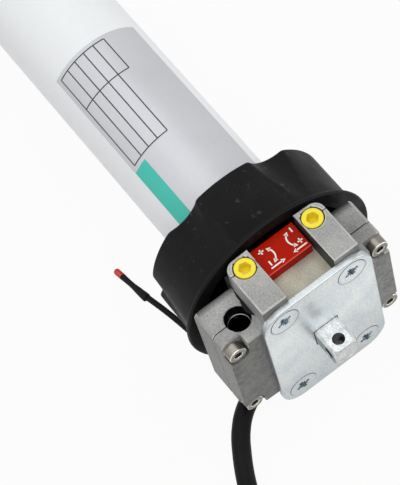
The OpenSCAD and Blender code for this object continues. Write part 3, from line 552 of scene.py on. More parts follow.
class MOTOR_OT_cables(bpy.types.Operator):
    """Mains cable with its coil, gland and cores, and the aerial"""

    bl_idname = "blind_motor.cables"
    bl_label = "Cable and aerial"

    def execute(self, context):
        sizes, tones = settings(context)
        # PVC sheath, extruded: black with a soft sheen, faintly mottled
        sheath = surface(
            "black_pvc_sheath", tones.cable,
            spread=0.15, grain=1.2, cloud=9, rough=(0.42, 0.55), shine=0.11,
        )
        # Rubber, moulded: duller than the sheath and even
        rubber = surface(
            "black_moulded_rubber", shade(tones.cable, 0.9),
            spread=0.12, grain=0.8, rough=(0.5, 0.62), shine=0.16,
        )
        self.mains(sizes, sheath, rubber)
        self.aerial(sizes, tones, sheath, rubber)
        return {"FINISHED"}

    def mains(self, sizes, sheath, rubber):
        """Mains cable on one route from inside its gland to the end of the coil."""
        way = Vector((math.cos(OUTLET_TURN), math.sin(OUTLET_TURN), 0))
        floor = FLOOR_Z + CABLE_R
        coil = coil_points()
        low = coil[0][2]
        start = OUTLET - (GLAND_INSIDE - 1) * way
        route = [start, OUTLET + GLAND_OUTSIDE * way]
        route += [(-8.5, -35.1, -32.2), (-6.2, -38.4, -32.6), (-3.5, -41.3, -33.2), (-0.5, -43.9, -34)]
        route += [(3.7, -46.7, -34.9), (8, -49.3, -35.8), (13.3, -52, -36.3), (18.8, -54.3, floor)]
        route += [(24.6, -56, floor), (30.5, -56.9, floor), (36, CABLE_SIDE, floor)]
        route += [(56, CABLE_SIDE, floor), (76, CABLE_SIDE, floor), (94, CABLE_SIDE, (floor + low) / 2)]
        whole = route + coil
        cable = cord_curve(
            "mains_cable_sheath", whole, sizes.cable_diameter / 2, sheath, "head"
        )
        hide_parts("mains_cable", "cable_coil")
        recast("cable_gland_ribs", "cable_gland", RUBBER_EDGE * MM, rubber, "head", "cable_black")
        # Nylon, moulded: dark grey with a soft gloss
        nylon = surface(
            "black_nylon_tie", linear("#26262a"),
            spread=0.1, grain=1.0, cloud=8, rough=(0.35, 0.45), dent=0.01,
        )
        tie = piece("drawn_coil_tie", self.tie(coil), nylon, "head", "cable_black", "coil_tie")
        cores = self.cores(Vector(coil[-1]))
        # Tinned copper: silvery and lightly mottled
        tin = surface(
            "tinned_copper", linear("#c6cace"), spread=0.12, cloud=4, rough=(0.25, 0.4), metal=1.0
        )
        dress(tin, "core_ferrules")

    def tie(self, coil):
        """Flat tie with its lock, drawn tight round the turns on the coil's far side."""
        angles = [math.tau * k / 16 for k in range(16)]
        turns = [(y, z) for _, y, z in coil[COIL_STEPS // 2 :: COIL_STEPS]]
        near = [(y + TIE_R * math.cos(a), z + TIE_R * math.sin(a)) for y, z in turns for a in angles]
        bm = bmesh.new()
        start = COIL_X - TIE_WIDTH / 2
        verts = [bm.verts.new(Vector((start, *near[k])) * MM) for k in convex_hull_2d(near)]
        edges = [bm.edges.new(pair) for pair in zip(verts, verts[1:] + verts[:1])]
        new = bmesh.ops.extrude_edge_only(bm, edges=edges)["geom"]
        moved = [v for v in new if isinstance(v, bmesh.types.BMVert)]
        bmesh.ops.translate(bm, verts=moved, vec=(TIE_WIDTH * MM, 0, 0))
        bmesh.ops.recalc_face_normals(bm, faces=bm.faces)
        bmesh.ops.solidify(bm, geom=bm.faces[:], thickness=-TIE_THICKNESS * MM)
        top = max(turns, key=lambda turn: turn[1])
        lock = bmesh.ops.create_cube(bm, size=MM)["verts"]
        bmesh.ops.scale(bm, verts=lock, vec=TIE_LOCK)
        bmesh.ops.translate(bm, verts=lock, vec=Vector((COIL_X, top[0] - 1, top[1] + 5.0)) * MM)
        edges = list({e for v in lock for e in v.link_edges})
        bmesh.ops.bevel(
            bm, geom=edges, offset=0.5 * MM, affect="EDGES", segments=2, profile=0.5, material=-1
        )
        bmesh.ops.recalc_face_normals(bm, faces=bm.faces)
        return bm

    def cores(self, start):
        """Stripped cores that fan out to their ferrules."""
        made = []
        # PVC insulation: plain colours with a soft gloss
        finishes = {
            node: surface(node + "_pvc", linear(code), spread=0.1, grain=0.8, rough=(0.35, 0.45), dent=0.01)
            for node, code in (("brown_core", "#5f3b22"), ("blue_core", "#1c4f9e"))
        }
        finishes["earth_core"] = self.earth_stripe()
        for i, (node, finish) in enumerate(finishes.items(), -1):
            route = []
            for k in range(16):
                t = k / 15
                out = ease(t)
                aside = CORE_PITCH * i * (1 + CORE_FAN * out)
                route.append(start + Vector((CORE_LENGTH * t, aside, -CORE_DROP * out)))
            core = cord_curve(node + "_insulation", route, CORE_R * MM, finish, "head")
            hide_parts(node)
            made.append(core)
        return made

    def earth_stripe(self):
        """Insulation of the earth core."""
        # PVC in two colours: sharp yellow stripes across the green
        made, tree = blank("green_and_yellow_pvc")
        place = add(tree, "ShaderNodeTexCoord").outputs["Object"]
        # Along an axis, the bands of a slanting wave lie tau / (10 * scale) apart
        scale = math.tau / (10 * STRIPE_PITCH * MM)
        wave = add(
            tree,
            "ShaderNodeTexWave",
            {"Vector": place, "Scale": scale, "Distortion": 0.0},
            wave_type="BANDS",
            bands_direction="DIAGONAL",
        ).outputs["Fac"]
        side = add(tree, "ShaderNodeMath", {0: wave, 1: 0.5}, operation="GREATER_THAN").outputs[0]
        mixed = {0: side, 6: linear("#3f8a2c"), 7: linear("#e0c92a")}
        stripe = add(tree, "ShaderNodeMix", mixed, data_type="RGBA").outputs[2]
        skin = add(tree, "ShaderNodeBsdfPrincipled", {"Base Color": stripe, "Roughness": 0.4})
        add(tree, "ShaderNodeOutputMaterial", {"Surface": skin.outputs[0]})
        return made

    def aerial(self, sizes, tones, sheath, rubber):
        """Aerial lead on its way to the floor, with its sleeve, tip and grommet."""
        floor = FLOOR_Z + AERIAL_R
        route = [AERIAL_EXIT + Vector((0, 3.0, 0)), AERIAL_EXIT - Vector((0, 1.6, 0))]
        route += [(-24.3, -24.5, -33.8), (-26.4, -27.4, -35.2), (-28.1, -28.7, -36.1), (-30, -29.6, -37)]
        route += [(-33, -30.3, -37.8), (-36, -30.8, -38.3), (-40, -31.25, -38.65), (-44, -31.6, floor)]
        route += [(-48, -32.05, floor), (-52, -32.55, floor), (-55.5, -33.1, floor), (-59, -33.7, floor)]
        route += [(-62, -34.3, -38.75), (-65, -34.95, -38.6), AERIAL_END + Vector((0, 0.3, 0))]
        lead = cord_curve("aerial_wire", route, sizes.aerial_diameter / 2, sheath, "head")
        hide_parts("aerial_lead")
        # The sleeve runs on backwards, with one part in seven to the left
        turn = Matrix.Rotation(math.atan2(-1, -7), 4, "Z")
        place = Matrix.Translation(AERIAL_END * MM) @ turn
        sleeve = bmesh.new()
        profile = [(0, 0), (0, 1.5), (0.25, 1.7), (1.0, 1.7), (4.5, 1.45), (7.5, 1.15), (9.0, 1.1)]
        spin_profile(sleeve, profile + [(11.5, 1.15), (13.7, 1.28), (14.0, 1.2), (14.0, 0)], place)
        piece("aerial_shrink_sleeve", sleeve, rubber, "head", "cable_black", "aerial_sleeve")
        tip = bmesh.new()
        profile = [(14.0, 0), (14.0, 1.2), (14.2, 1.32), (16.9, 1.32), (17.5, 1.1), (17.9, 0.6), (18.0, 0)]
        spin_profile(tip, profile, place)
        # Dipped vinyl: glossy, with a slightly uneven coat
        dip = surface(
            "red_dipped_vinyl", tones.tip, spread=0.12, grain=0.7, cloud=3, rough=(0.2, 0.3), dent=0.03
        )
        red = piece("aerial_red_tip", tip, dip, "head", "red_tip", "aerial_tip")
        recast("aerial_wall_grommet", "aerial_grommet", RUBBER_EDGE * MM, rubber, "head", "cable_black")


class MOTOR_OT_castings(bpy.types.Operator):
    """The head's two die castings"""

    bl_idname = "blind_motor.castings"
    bl_label = "Castings"

    def execute(self, context):
        sizes, tones = settings(context)
        # Zinc alloy, die cast and tumbled: dull grey, with a sandy grain drawn coarser so that it shows
        alloy = surface(
            "die_cast_zinc_alloy", tones.casting,
            spread=0.4, cloud=14, rough=(0.5, 0.62), dent=0.14, metal=0.15, shine=0.25,
        )
        # The same alloy, lighter on the rounded edges: painted highlight, with some wear from the tumbling
        rubbed_and_lit = surface(
            "rubbed_casting_edge_painted_highlight", shade(tones.casting, 1.2),
            spread=0.3, cloud=9, rough=(0.4, 0.5), dent=0.08, metal=0.3,
        )
        # Flat faces pressed against the die: smoother, with flow clouds, and darker as painted shade, more
        # so on the left
        flat = surface(
            "die_pressed_face_painted_shade", shade(tones.casting, 0.75),
            spread=0.5, grain=1.6, cloud=7, rough=(0.42, 0.58), dent=0.06, metal=0.2, shine=0.3,
            fade=("Y", -20, 20, 0.77),
        )
        # Painted shadow of the crown and the boss on the blocks' tops: black beside the crown, and the
        # right block darker throughout
        crown_shadow = {
            side: surface(
                "painted_crown_shadow_" + name, shade(tones.casting, share),
                spread=0.45, grain=0.7, cloud=14, rough=(0.5, 0.62), dent=0.14, metal=0.15, shine=0.25,
                fade=("X", start, start + 3.1, 0.03),
            )
            for side, name, share, start in ((-1, "left", 0.97, -23.7), (1, "right", 0.74, -23.0))
        }
        # Chromate stain on the recess floor: warmer than the rest
        stain = surface(
            "chromate_stained_casting", tones.recess,
            spread=0.36, grain=0.55, cloud=9, rough=(0.5, 0.62), dent=0.08, metal=0.1, shine=0.25,
        )
        # Oil that creeps out of the seam between the castings: a dark line; the same dark colour is also
        # painted shade on the right boss's inner wall, round the adjusters' holes and beside the crown
        oil_and_shade = surface(
            "seam_oil_and_painted_shade", linear("#33332f"), spread=0.2, cloud=5, rough=(0.4, 0.6), shine=0.2
        )
        # Painted shade in the crank's hole and in the slit beside the boss: nearly black
        painted_shade = surface(
            "painted_shade_in_crank_hole", linear("#0d0d0d"), spread=0.2, grain=0.8, cloud=5, rough=(0.3, 0.5), shine=0.2
        )
        for name, node in (("front_casting", "front_housing"), ("rear_casting", "rear_housing")):
            made = recast(name, node, sizes.casting_edge, alloy, "head", "casting", rim=rubbed_and_lit, reach=30)
            # Front faces and the left side: darker as painted shade
            paint(made, flat, lambda p: p.x > FRONT_X - 0.1 or p.y < LEFT_Y + 0.1)
            # Painted shadow on the blocks' tops
            for side, shadowed in crown_shadow.items():
                paint(made, shadowed, lambda p: side * p.y > BOSS_OUTER + 0.2 and p.z > BLOCK_TOP - 0.5)
            # Painted shade on the right boss's inner wall
            paint(made, oil_and_shade, lambda p: abs(p.y - BOSS_INNER) < 0.3 and p.z > RECESS_FLOOR)
            paint(made, stain, lambda p: abs(p.z - RECESS_FLOOR) < 0.2 and abs(p.y) < BOSS_INNER + 0.2)
            paint(made, oil_and_shade, self.in_joint)
            # Painted shade deep in the crank's hole
            paint(made, painted_shade, self.in_bore)
            # Painted shade on the rims of the adjusters' holes
            paint(made, oil_and_shade, self.round_adjuster, edges=True)
            # Painted shadow of the crown on the casting's rear strip
            paint(made, oil_and_shade, lambda p: p.x < CROWN_SIDE and p.z < RECESS_FLOOR + 0.3)
        # The screw seats take the same darker face material, painted shade included
        piece("screw_seats", self.seats(), flat, "head", "casting")
        # A dark sheet of painted shadow beside the boss
        piece("painted_shadow_beside_boss", self.gap(), painted_shade, "head", "casting")
        return {"FINISHED"}

    def in_joint(self, point):
        """Tell whether a face lies in the oily part of the groove where the two castings meet."""
        if point.y < LEFT_Y + 1.5 and point.z < BLOCK_TOP - 3:
            return False
        seam = BOSS_SEAM if abs(point.y) < BOSS_OUTER + 0.2 else SIDE_SEAM
        return abs(point.x - seam) < 0.22

    def seats(self):
        """Round feet of the four corner notches, which follow the screws' heads."""
        bm = bmesh.new()
        rim = SEAT_R + SEAT_RIM
        for y, side, reach in ((SCREW_YS[0], 1, 3.6), (SCREW_YS[1], -1, 1.2)):
            last = math.pi - math.acos(reach / SEAT_R)
            turns = [last * k / 14 for k in range(15)]
            outline = [(-reach, -rim), (rim, -rim), (rim, 0)]
            outline += [(SEAT_R * math.cos(a), -SEAT_R * math.sin(a)) for a in turns]
            for up in (1, -1):
                places = [Vector((SEAT_X, y + side * u, up * (SCREW_Z + v))) * MM for u, v in outline]
                foot = bm.faces.new([bm.verts.new(place) for place in places])
                thicken(bm, [foot], ((FRONT_X + SEAT_PROUD - SEAT_X) * MM, 0, 0))
        return bm

    def gap(self):
        """Dark sheet on the left block's top, beside the boss and the crank's hole: painted shadow of the
        slit there.
        """
        bm = bmesh.new()
        outline = [(-21.5, -BOSS_OUTER), (-21.5, -20.8), (-20.1, -21.0), (-18.7, -21.4), (-17.2, -21.3)]
        outline += [(-15.1, -22.0), (-12.3, -22.2), (-9.5, -20.9), (-9.5, -BOSS_OUTER)]
        slit = bm.faces.new([bm.verts.new(Vector((x, y, BLOCK_TOP)) * MM) for x, y in outline])
        thicken(bm, [slit], (0, 0, SLIT_THICKNESS * MM))
        return bm

    def round_adjuster(self, point):
        """Tell whether a face lies on the rim of a limit adjuster's hole."""
        away = math.hypot(point.x - BOSS_SEAM, abs(point.y) - ADJUSTER_Y)
        return away < ADJUSTER_R + 0.5 and point.z > RECESS_FLOOR

    def in_bore(self, point):
        """Tell whether a face lies in the crank's hole, away from the step that the crank meets."""
        deep = point.z < CRANK_MOUTH and abs(point.z - CRANK.z) > 0.1
        return deep and (point - CRANK).xy.length < CRANK_HOLE_R + 0.1


class MOTOR_OT_plate(bpy.types.Operator):
    """Mounting plate, square pin and screws"""

    bl_idname = "blind_motor.plate"
    bl_label = "Plate and screws"

    def execute(self, context):
        sizes, tones = settings(context)
        # Bright zinc plating: bluish, with warm clouds, and painted shade that darkens it towards the
        # bottom
        zinc = surface(
            "bright_zinc_plate_shaded_below", tones.zinc,
            spread=0.21, grain=1.0, cloud=9, rough=(0.28, 0.44), dent=0.012, metal=1.0, warm=0.05,
            fade=("Z", -32, 12, 0.68),
        )
        # Edges rounded by the press tool: greyer than the faces as painted shade
        pressed = surface(
            "pressed_zinc_edge_painted_shade", shade(tones.zinc, 0.7),
            spread=0.15, grain=0.8, rough=(0.3, 0.45), metal=1.0,
        )
        # Sheared metal between the rounded edges: dull, and greyer still as painted shade
        sheared = surface(
            "sheared_zinc_edge_painted_shade", shade(tones.zinc, 0.6),
            spread=0.2, grain=0.5, cloud=5, rough=(0.36, 0.5), dent=0.04, metal=1.0,
        )
        made = recast(
            "zinc_plate", "mounting_plate", sizes.plate_edge, zinc, "head", "zinc_plate", rim=pressed
        )
        paint(made, sheared, lambda p: FRONT_X + 0.3 < p.x < -0.4)
        # Plating on the sawn and turned bar: whiter, with tool marks drawn coarser so that they show
        speckle = surface(
            "zinc_on_turned_bar", shade(tones.zinc, 0.95, 0.02),
            spread=0.4, cloud=4, rough=(0.36, 0.52), dent=0.05, metal=0.6,
        )
        # Plating worn thin along the edges, darkened further as painted shade: grey lines
        worn = surface(
            "worn_pin_edge_painted_shade", shade(tones.zinc, 0.72),
            spread=0.3, grain=0.5, cloud=4, rough=(0.35, 0.5), dent=0.04, metal=0.9,
        )
        # Painted shade in the pin's drilled holes and in the slit round the pin: nearly black
        painted_shade = surface(
            "painted_shade_in_and_round_pin", linear("#343533"),
            spread=0.2, cloud=4, rough=(0.4, 0.6), dent=0.03, metal=0.5,
        )
        pin = recast("square_pin", "bracket_pin", sizes.pin_edge, speckle, "head", "zinc_plate", rim=worn)
        # The side that faces away from the light: darker as painted shade, and dull, with little to mirror
        shaded_side = surface(
            "dull_pin_side_painted_shade", shade(tones.zinc, 0.5),
            spread=0.25, cloud=4, rough=(0.45, 0.6), dent=0.05, metal=0.6,
        )
        paint(pin, shaded_side, lambda p: p.y < -PIN_HALF + 0.02)
        # The top-left edges keep the lighter plating: painted highlight
        paint(pin, speckle, lambda p: -PIN_HALF < p.y < 0 < p.z, edges=True)
        # The right edges of the top: painted shade
        paint(pin, shaded_side, lambda p: p.y > PIN_HALF - 0.3 and p.z > 0, edges=True)
        # Painted shade inside the pin's cross holes
        paint(pin, painted_shade, self.in_pin_hole)
        piece("pin_pocket_shadow", self.pocket_shadow(), painted_shade, "head", "zinc_plate")
        screws = recast("countersunk_screws", "plate_screws", RECESS_EDGE * MM, zinc, "head", "zinc_plate")
        # Recesses and the rims of the heads: dark blue-grey painted shade
        dull = surface(
            "painted_shade_on_screw_heads", linear("#56616b"),
            spread=0.25, grain=0.5, cloud=3, rough=(0.35, 0.5), dent=0.03, metal=0.8,
        )
        paint(screws, dull, self.in_recess)
        # Chipped plating in the cross recesses: blue-white flecks on dark steel
        flecks = surface(
            "chipped_blue_plating", linear("#94a3b2"),
            spread=0.95, grain=0.7, cloud=1.6, rough=(0.3, 0.5), dent=0.05, metal=0.3,
        )
        paint(screws, flecks, lambda p: p.x < RECESS_X)
        # Nickel plating on turned steel: warm and even
        nickel = surface(
            "nickel_plated_steel", tones.nickel,
            spread=0.08, grain=0.8, rough=(0.24, 0.36), dent=0.01, metal=1.0,
        )
        # Turned rims of the same screws: bright rings of painted highlight
        rim = surface(
            "screw_rim_painted_highlight", shade(tones.nickel, 3.2),
            spread=0.08, grain=0.8, rough=(0.2, 0.3), dent=0.01, metal=1.0,
        )
        screws = recast(
            "socket_screws", "housing_screws", sizes.screw_edge, nickel, "head", "nickel_screw", rim=rim
        )
        # Painted shade in the sockets: dark and uneven
        darkened = surface(
            "screw_socket_painted_shade", shade(tones.nickel, 0.6),
            spread=0.3, grain=0.5, cloud=3, rough=(0.3, 0.45), dent=0.03, metal=0.8,
        )
        paint(screws, darkened, self.in_socket)
        return {"FINISHED"}

    def pocket_shadow(self):
        """Dark ring of painted shadow in the slit between the pin and its pocket in the plate."""
        half, width, sunk, thick = PIN_HALF + 0.3, 0.4, 0.2, 0.24
        bm = bmesh.new()
        bmesh.ops.create_grid(bm, x_segments=1, y_segments=1, size=half * MM)
        ring = bmesh.ops.inset_region(
            bm, faces=bm.faces[:], use_boundary=True, use_even_offset=True, thickness=width * MM
        )["faces"]
        bmesh.ops.delete(bm, geom=[f for f in bm.faces if f not in ring], context="FACES")
        bmesh.ops.rotate(bm, verts=bm.verts, cent=(0, 0, 0), matrix=Matrix.Rotation(math.pi / 2, 3, "Y"))
        bmesh.ops.translate(bm, verts=bm.verts, vec=(-sunk * MM, 0, 0))
        thicken(bm, bm.faces[:], (thick * MM, 0, 0))
        return bm

    def in_pin_hole(self, point):
        """Tell whether a face lies in one of the pin's two cross holes."""
        away = min((point - PIN_HOLE).xy.length, (point - PIN_HOLE).xz.length)
        return away < PIN_HOLE_R + 0.05 and max(abs(point.y), abs(point.z)) < PIN_HALF - 0.25

    def in_recess(self, point):
        """Tell whether a face lies in a plate screw's recess or on the rim of its head."""
        away = math.hypot(abs(point.y) - PLATE_SCREW_Y, abs(point.z) - PLATE_SCREW_Z)
        return point.x < RECESS_X or away > PLATE_SCREW_R - 0.18

    def in_socket(self, point):
        """Tell whether a face lies in a housing screw's hexagon socket."""
        y = SCREW_YS[0] if point.y < 0 else SCREW_YS[1]
        away = math.hypot(point.y - y, abs(point.z) - SCREW_Z)
        return away < SCREW_SOCKET_R and point.x < SCREW_HEAD_X - 0.3


class MOTOR_OT_adjusters(bpy.types.Operator):
    """Limit adjusters and the direction block with its signs"""

    bl_idname = "blind_motor.adjusters"
    bl_label = "Adjusters and signs"

    def execute(self, context):
        sizes, tones = settings(context)
        # Acetal, injection moulded: smooth, with a soft gloss
        acetal = surface(
            "yellow_acetal", tones.adjuster,
            spread=0.04, grain=1.0, rough=(0.26, 0.36), dent=0.006, shine=0.4,
        )
        for side in ("left", "right"):
            node = side + "_adjuster"
            recast(side + "_limit_adjuster", node, sizes.plastic_edge, acetal, node, "yellow_adjuster")
        # ABS, injection moulded and polished: deep, even red
        abs_red = surface(
            "red_polished_abs", tones.sign_block,
            spread=0.08, grain=1.5, cloud=9, rough=(0.16, 0.26), dent=0.006, shine=0.04,
        )
        # Edges of the moulding, where the light breaks: thin bright lines
        bright = surface(
            "red_moulded_edge", shade(tones.sign_block, 1.7),
            spread=0.1, grain=1.0, rough=(0.12, 0.2), dent=0.006,
        )
        edge = sizes.plastic_edge
        recast("red_direction_block", "direction_block", edge, abs_red, "head", "red_sign", rim=bright)
        # Pad-printed ink: flat white
        ink = surface(
            "white_pad_print", linear("#f3efe9"), spread=0.04, cloud=4, rough=(0.4, 0.5), dent=0.004
        )
        piece("direction_signs", self.signs(sizes), ink, "head", "red_sign")
        return {"FINISHED"}

    def bar(self, bm, centre, size, turn=0.0):
        """Flat bar, in millimetres, with its long side along X before it turns."""
        made = bmesh.ops.create_grid(bm, x_segments=1, y_segments=1, size=0.5 * MM)["verts"]
        bmesh.ops.scale(bm, verts=made, vec=(size[0], size[1], 1))
        bmesh.ops.rotate(bm, verts=made, cent=(0, 0, 0), matrix=Matrix.Rotation(turn, 3, "Z"))
        bmesh.ops.translate(bm, verts=made, vec=Vector((*centre, SIGN_TOP)) * MM)

    def head(self, bm, tip, turn):
        """Arrowhead with its tip at a point, in millimetres."""
        made = bmesh.ops.create_circle(bm, cap_ends=True, segments=3, radius=ARROW_R * MM)["verts"]
        bmesh.ops.translate(bm, verts=made, vec=(0, -ARROW_R * MM, 0))
        way = Matrix.Rotation(turn - math.pi / 2, 3, "Z")
        bmesh.ops.rotate(bm, verts=made, cent=(0, 0, 0), matrix=way)
        bmesh.ops.translate(bm, verts=made, vec=Vector((*tip, SIGN_TOP)) * MM)

    def arc(self, bm, centre, radius, first, last, line):
        """Curved line with an arrowhead at each end."""
        middle = Vector((*centre, SIGN_TOP)) * MM
        out = Vector((math.cos(first), math.sin(first), 0))
        ends = [bm.verts.new(middle + out * (radius * MM + s * line / 2)) for s in (-1, 1)]
        edge = bm.edges.new(ends)
        bmesh.ops.spin(
            bm, geom=[*ends, edge], cent=middle, axis=(0, 0, 1), angle=last - first, steps=16
        )
        way = math.copysign(1, last - first)
        for angle, sign in ((first, -way), (last, way)):
            heading = angle + sign * math.pi / 2
            at = Vector((*centre, 0)) + radius * Vector((math.cos(angle), math.sin(angle), 0))
            at += ARROW_R * Vector((math.cos(heading), math.sin(heading), 0))
            self.head(bm, at[:2], heading)

    def signs(self, sizes):
        """Plus and minus signs, turn arrows and straight arrows on the block's top."""
        line = sizes.sign_line
        width = line / MM
        bm = bmesh.new()
        for side, middle in ((-1, -5.95), (1, 7.15)):
            plus, minus = (-23.8, -18.3) if side < 0 else (-18.6, -23.9)
            for turn in (0, math.pi / 2):
                self.bar(bm, (plus, middle), (PLUS_LENGTH, width), turn)
            self.bar(bm, (minus, middle), (MINUS_LENGTH, width))
        for y, first, last in zip(SIGN_YS, (128, -140), (38, -40)):
            self.arc(bm, (SIGN_X, y), SIGN_R, math.radians(first), math.radians(last), line)
        for start, end in ((-6.8, -0.9), (8.5, 2.6)):
            way = math.copysign(1, end - start)
            shaft = (abs(end - start) - ARROW_R, width)
            self.bar(bm, (ARROW_X, (start + end - way * ARROW_R) / 2), shaft, math.pi / 2)
            self.head(bm, (ARROW_X, end), way * math.pi / 2)
        thicken(bm, bm.faces[:], (0, 0, sizes.sign_print))
        return bm


class MOTOR_OT_crown(bpy.types.Operator):
    """Crown and drive wheel"""

    bl_idname = "blind_motor.crown"
    bl_label = "Crown and drive wheel"

    def execute(self, context):
        sizes, tones = settings(context)
        # Glass-filled polyamide, moulded: satin black, faintly cloudy, with pale scuffs from handling
        nylon = surface(
            "black_glass_filled_polyamide", tones.crown,
            spread=0.35, grain=0.9, cloud=10, rough=(0.38, 0.54), dent=0.05, shine=0.1,
            scuffs=(2.4, linear("#3c3c3d")),
        )
        recast("fluted_crown", "crown", sizes.crown_edge, nylon, "crown", "crown_black")
        recast("fluted_drive_wheel", "drive_wheel", sizes.crown_edge, nylon, "output", "crown_black")
        return {"FINISHED"}


class MOTOR_OT_tube(bpy.types.Operator):
    """White tube with its blank label"""

    bl_idname = "blind_motor.tube"
    bl_label = "Tube and label"

    def execute(self, context):
        sizes, tones = settings(context)
        # Powder coat: smooth white with a faint orange peel, drawn coarser so that it shows
        coat = surface(
            "white_powder_coat", tones.tube, spread=0.015, grain=2.2, cloud=30, rough=(0.28, 0.36)
        )
        dress(coat, "motor_tube")
        # Metallised polyester label: pale silver with a soft sheen
        foil = surface(
            "silver_label_foil", tones.label,
            spread=0.03, grain=1.2, cloud=18, rough=(0.34, 0.42), dent=0.004, metal=0.35,
        )
        # Colour printed on the foil: even green
        green = surface(
            "green_label_print", tones.band,
            spread=0.03, grain=1.2, cloud=14, rough=(0.3, 0.38), dent=0.004,
        )
        # Black printed on the foil: thin dark lines
        black = surface(
            "black_label_print", linear("#2a2b2d"), spread=0.05, grain=0.8, rough=(0.35, 0.45), dent=0.003
        )
        skin = sizes.label_foil
        sheet = self.patch(LABEL_ENDS, LABEL_SIDES, TUBE_R * MM, skin)
        piece("label_foil", sheet, foil, "tube_unit", "white_tube")
        band = self.patch(BAND_ENDS, BAND_SIDES, TUBE_R * MM + skin, skin / 4)
        piece("label_band", band, green, "tube_unit", "white_tube")
        rules = bmesh.new()
        self.ruling(rules, TUBE_R * MM + skin, skin / 4)
        piece("label_ruling", rules, black, "tube_unit", "white_tube")
        return {"FINISHED"}

    def patch(self, along, angles, radius, thick, bm=None):
        """Curved patch on the tube: along in millimetres, angles in degrees from the top."""
        bm = bm or bmesh.new()
        first, last = (math.radians(a) for a in angles)
        side = (radius * math.sin(first), radius * math.cos(first))
        verts = [bm.verts.new((x * MM, *side)) for x in along]
        edge = bm.edges.new(verts)
        steps = max(1, round(abs(last - first) / math.radians(3)))
        bmesh.ops.spin(
            bm, geom=[*verts, edge], cent=(0, 0, 0), axis=(-1, 0, 0), angle=last - first, steps=steps
        )
        loose = [f for f in bm.faces if f.tag is False]
        up = bmesh.ops.extrude_face_region(bm, geom=loose)["geom"]
        for vert in (v for v in up if isinstance(v, bmesh.types.BMVert)):
            out = Vector((0, vert.co.y, vert.co.z)).normalized()
            vert.co += out * thick
        bmesh.ops.recalc_face_normals(bm, faces=bm.faces)
        for face in bm.faces:
            face.tag = True
        return bm

    def ruling(self, bm, radius, thick):
        """Empty ruled table: lines of five rows across, and of a short one above them."""
        rows, short_row = (-46.6, -34.3, -23.3, -11.9, -0.3), 12.1
        start, middle, end = -138.3, -121.6, -90.4
        half, turn = 0.25, 0.6
        for row in rows:
            self.patch((start, end), (row - turn, row + turn), radius, thick, bm)
        self.patch((start, middle), (short_row - turn, short_row + turn), radius, thick, bm)
        for x, top in ((start + 0.1, short_row), (middle, short_row), (end, rows[-1])):
            self.patch((x - half, x + half), (rows[0], top), radius, thick, bm)


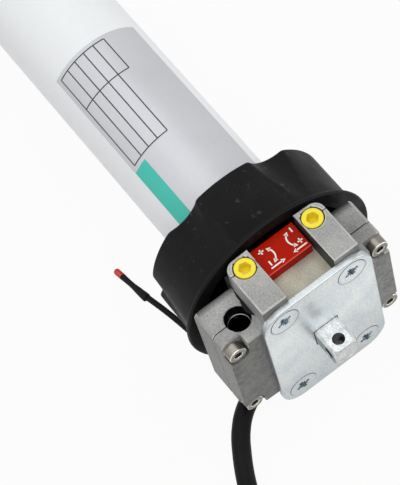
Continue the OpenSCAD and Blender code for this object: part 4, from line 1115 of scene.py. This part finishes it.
class MOTOR_OT_inner(bpy.types.Operator):
    """Finishes of what lies inside the head and tube"""

    bl_idname = "blind_motor.inner"
    bl_label = "Inner pieces"

    def execute(self, context):
        # Cut and hardened steel with a film of grease: grey and softly bright
        steel = surface(
            "hardened_gear_steel", linear("#9a9da1"),
            spread=0.12, grain=0.8, cloud=9, rough=(0.26, 0.4), metal=1.0,
        )
        planets = [f"{stage}_planet_{i}" for stage in ("first", "second", "third") for i in "abc"]
        carriers = ["first_carrier", "second_carrier", "third_carrier"]
        dress(steel, "rotor", "ring_gear", "brake_spring_plate", *carriers, *planets)
        # Sintered bronze: warm, with its fine open grain drawn coarser so that it shows
        bronze = surface(
            "sintered_bronze", linear("#b98b45"),
            spread=0.2, grain=0.5, cloud=7, rough=(0.4, 0.55), dent=0.05, metal=1.0,
        )
        dress(bronze, "worm_wheel", "motor_bushes", "output_bush")
        # Natural acetal: milky white with a soft gloss
        acetal = surface(
            "natural_acetal", linear("#e4dfd0"),
            spread=0.04, grain=1.0, cloud=8, rough=(0.35, 0.45), dent=0.006,
        )
        dress(acetal, "limit_cams", "board_carrier")
        # Polyester, moulded: even black with little gloss
        black = surface(
            "black_moulded_polyester", linear("#1d1d1f"),
            spread=0.12, grain=0.8, cloud=8, rough=(0.4, 0.5),
        )
        dress(black, "limit_pinion", "limit_switches", "end_cap")
        # Phosphated spring steel: dark grey, dull
        spring = surface(
            "phosphated_spring_steel", linear("#63666a"), spread=0.15, rough=(0.4, 0.55), metal=0.8
        )
        dress(spring, "crown_circlip", "wheel_clip")
        recast("crank_shaft", "worm_shaft", CRANK_EDGE * MM, spring, "worm", "spring_steel")
        lip = bmesh.new()
        upright = Matrix.Translation(CRANK * MM) @ Matrix.Rotation(-math.pi / 2, 4, "Y")
        profile = [(-0.2, 3.9), (-0.2, 4.4), (0.3, 4.4), (0.4, 4.25), (0.3, 4.1), (-0.2, 3.9)]
        spin_profile(lip, profile, upright)
        piece("crank_socket_lip", lip, steel, "worm", "spring_steel")
        # Turned die casting: light grey with a faint shimmer
        cast = surface(
            "turned_die_casting", linear("#b6b8ba"),
            spread=0.12, grain=0.9, cloud=10, rough=(0.32, 0.45), dent=0.03, metal=0.9,
        )
        dress(cast, "tube_neck", "rear_shield", "front_shield", "gearbox_cover")
        # Solder mask over copper: green, cloudy where the copper lies under it
        board = surface(
            "green_solder_mask", linear("#1e6a3b"),
            spread=0.2, grain=1.5, cloud=5, rough=(0.3, 0.4), dent=0.03,
        )
        dress(board, "receiver_board")
        # Moulded can: plain slate grey
        can = surface(
            "moulded_capacitor_can", linear("#31353b"), spread=0.1, grain=1.0, cloud=10, rough=(0.4, 0.5)
        )
        dress(can, "capacitor")
        # Coated steel: even dark grey with a soft sheen
        coated = surface(
            "dark_coated_steel", linear("#565a5e"),
            spread=0.1, grain=0.9, cloud=9, rough=(0.35, 0.48), metal=0.6,
        )
        dress(coated, "brake_body")
        # Pressed friction lining: brown-black, dry and coarse
        lining = surface(
            "pressed_friction_lining", linear("#3c3632"),
            spread=0.35, grain=0.7, cloud=4, rough=(0.7, 0.85), dent=0.08,
        )
        dress(lining, "brake_disc")
        # Stack of sheets too thin to show one by one: blue-grey, broken up by a coarser grain
        sheets = surface(
            "stacked_electrical_steel", linear("#6b7076"),
            spread=0.2, grain=0.5, rough=(0.35, 0.5), dent=0.05, metal=0.9,
        )
        dress(sheets, "stator_core")
        # Enamelled wire: glossy copper brown, with a coarser grain in place of the turns
        copper = surface(
            "enamelled_copper", linear("#b4652b"),
            spread=0.25, cloud=5, rough=(0.25, 0.4), dent=0.08, metal=0.9,
        )
        dress(copper, "stator_winding")
        return {"FINISHED"}


STEPS = (
    MOTOR_OT_stage,
    MOTOR_OT_cables,
    MOTOR_OT_castings,
    MOTOR_OT_plate,
    MOTOR_OT_adjusters,
    MOTOR_OT_crown,
    MOTOR_OT_tube,
    MOTOR_OT_inner,
)


class MOTOR_PT_steps(bpy.types.Panel):
    """Lists the motor's pieces in the sidebar"""

    bl_label = "Blind motor"
    bl_idname = "MOTOR_PT_steps"
    bl_space_type = "VIEW_3D"
    bl_region_type = "UI"
    bl_category = "Blind motor"

    def draw(self, context):
        for step in STEPS:
            self.layout.operator(step.bl_idname)
        for group in (context.scene.motor_sizes, context.scene.motor_colours):
            for name in group.__annotations__:
                self.layout.prop(group, name)


CLASSES = (MotorSizes, MotorColours, *STEPS, MOTOR_PT_steps)


def register():
    """Add the classes and the settings on the scene."""
    for cls in CLASSES:
        bpy.utils.register_class(cls)
    bpy.types.Scene.motor_sizes = bpy.props.PointerProperty(type=MotorSizes)
    bpy.types.Scene.motor_colours = bpy.props.PointerProperty(type=MotorColours)


def unregister():
    """Take the classes and the settings away."""
    del bpy.types.Scene.motor_colours
    del bpy.types.Scene.motor_sizes
    for cls in reversed(CLASSES):
        bpy.utils.unregister_class(cls)


def main():
    """Build every piece in order."""
    register()
    bpy.ops.blind_motor.stage()
    bpy.ops.blind_motor.cables()
    bpy.ops.blind_motor.castings()
    bpy.ops.blind_motor.plate()
    bpy.ops.blind_motor.adjusters()
    bpy.ops.blind_motor.crown()
    bpy.ops.blind_motor.tube()
    bpy.ops.blind_motor.inner()


if __name__ == "__main__":
    main()
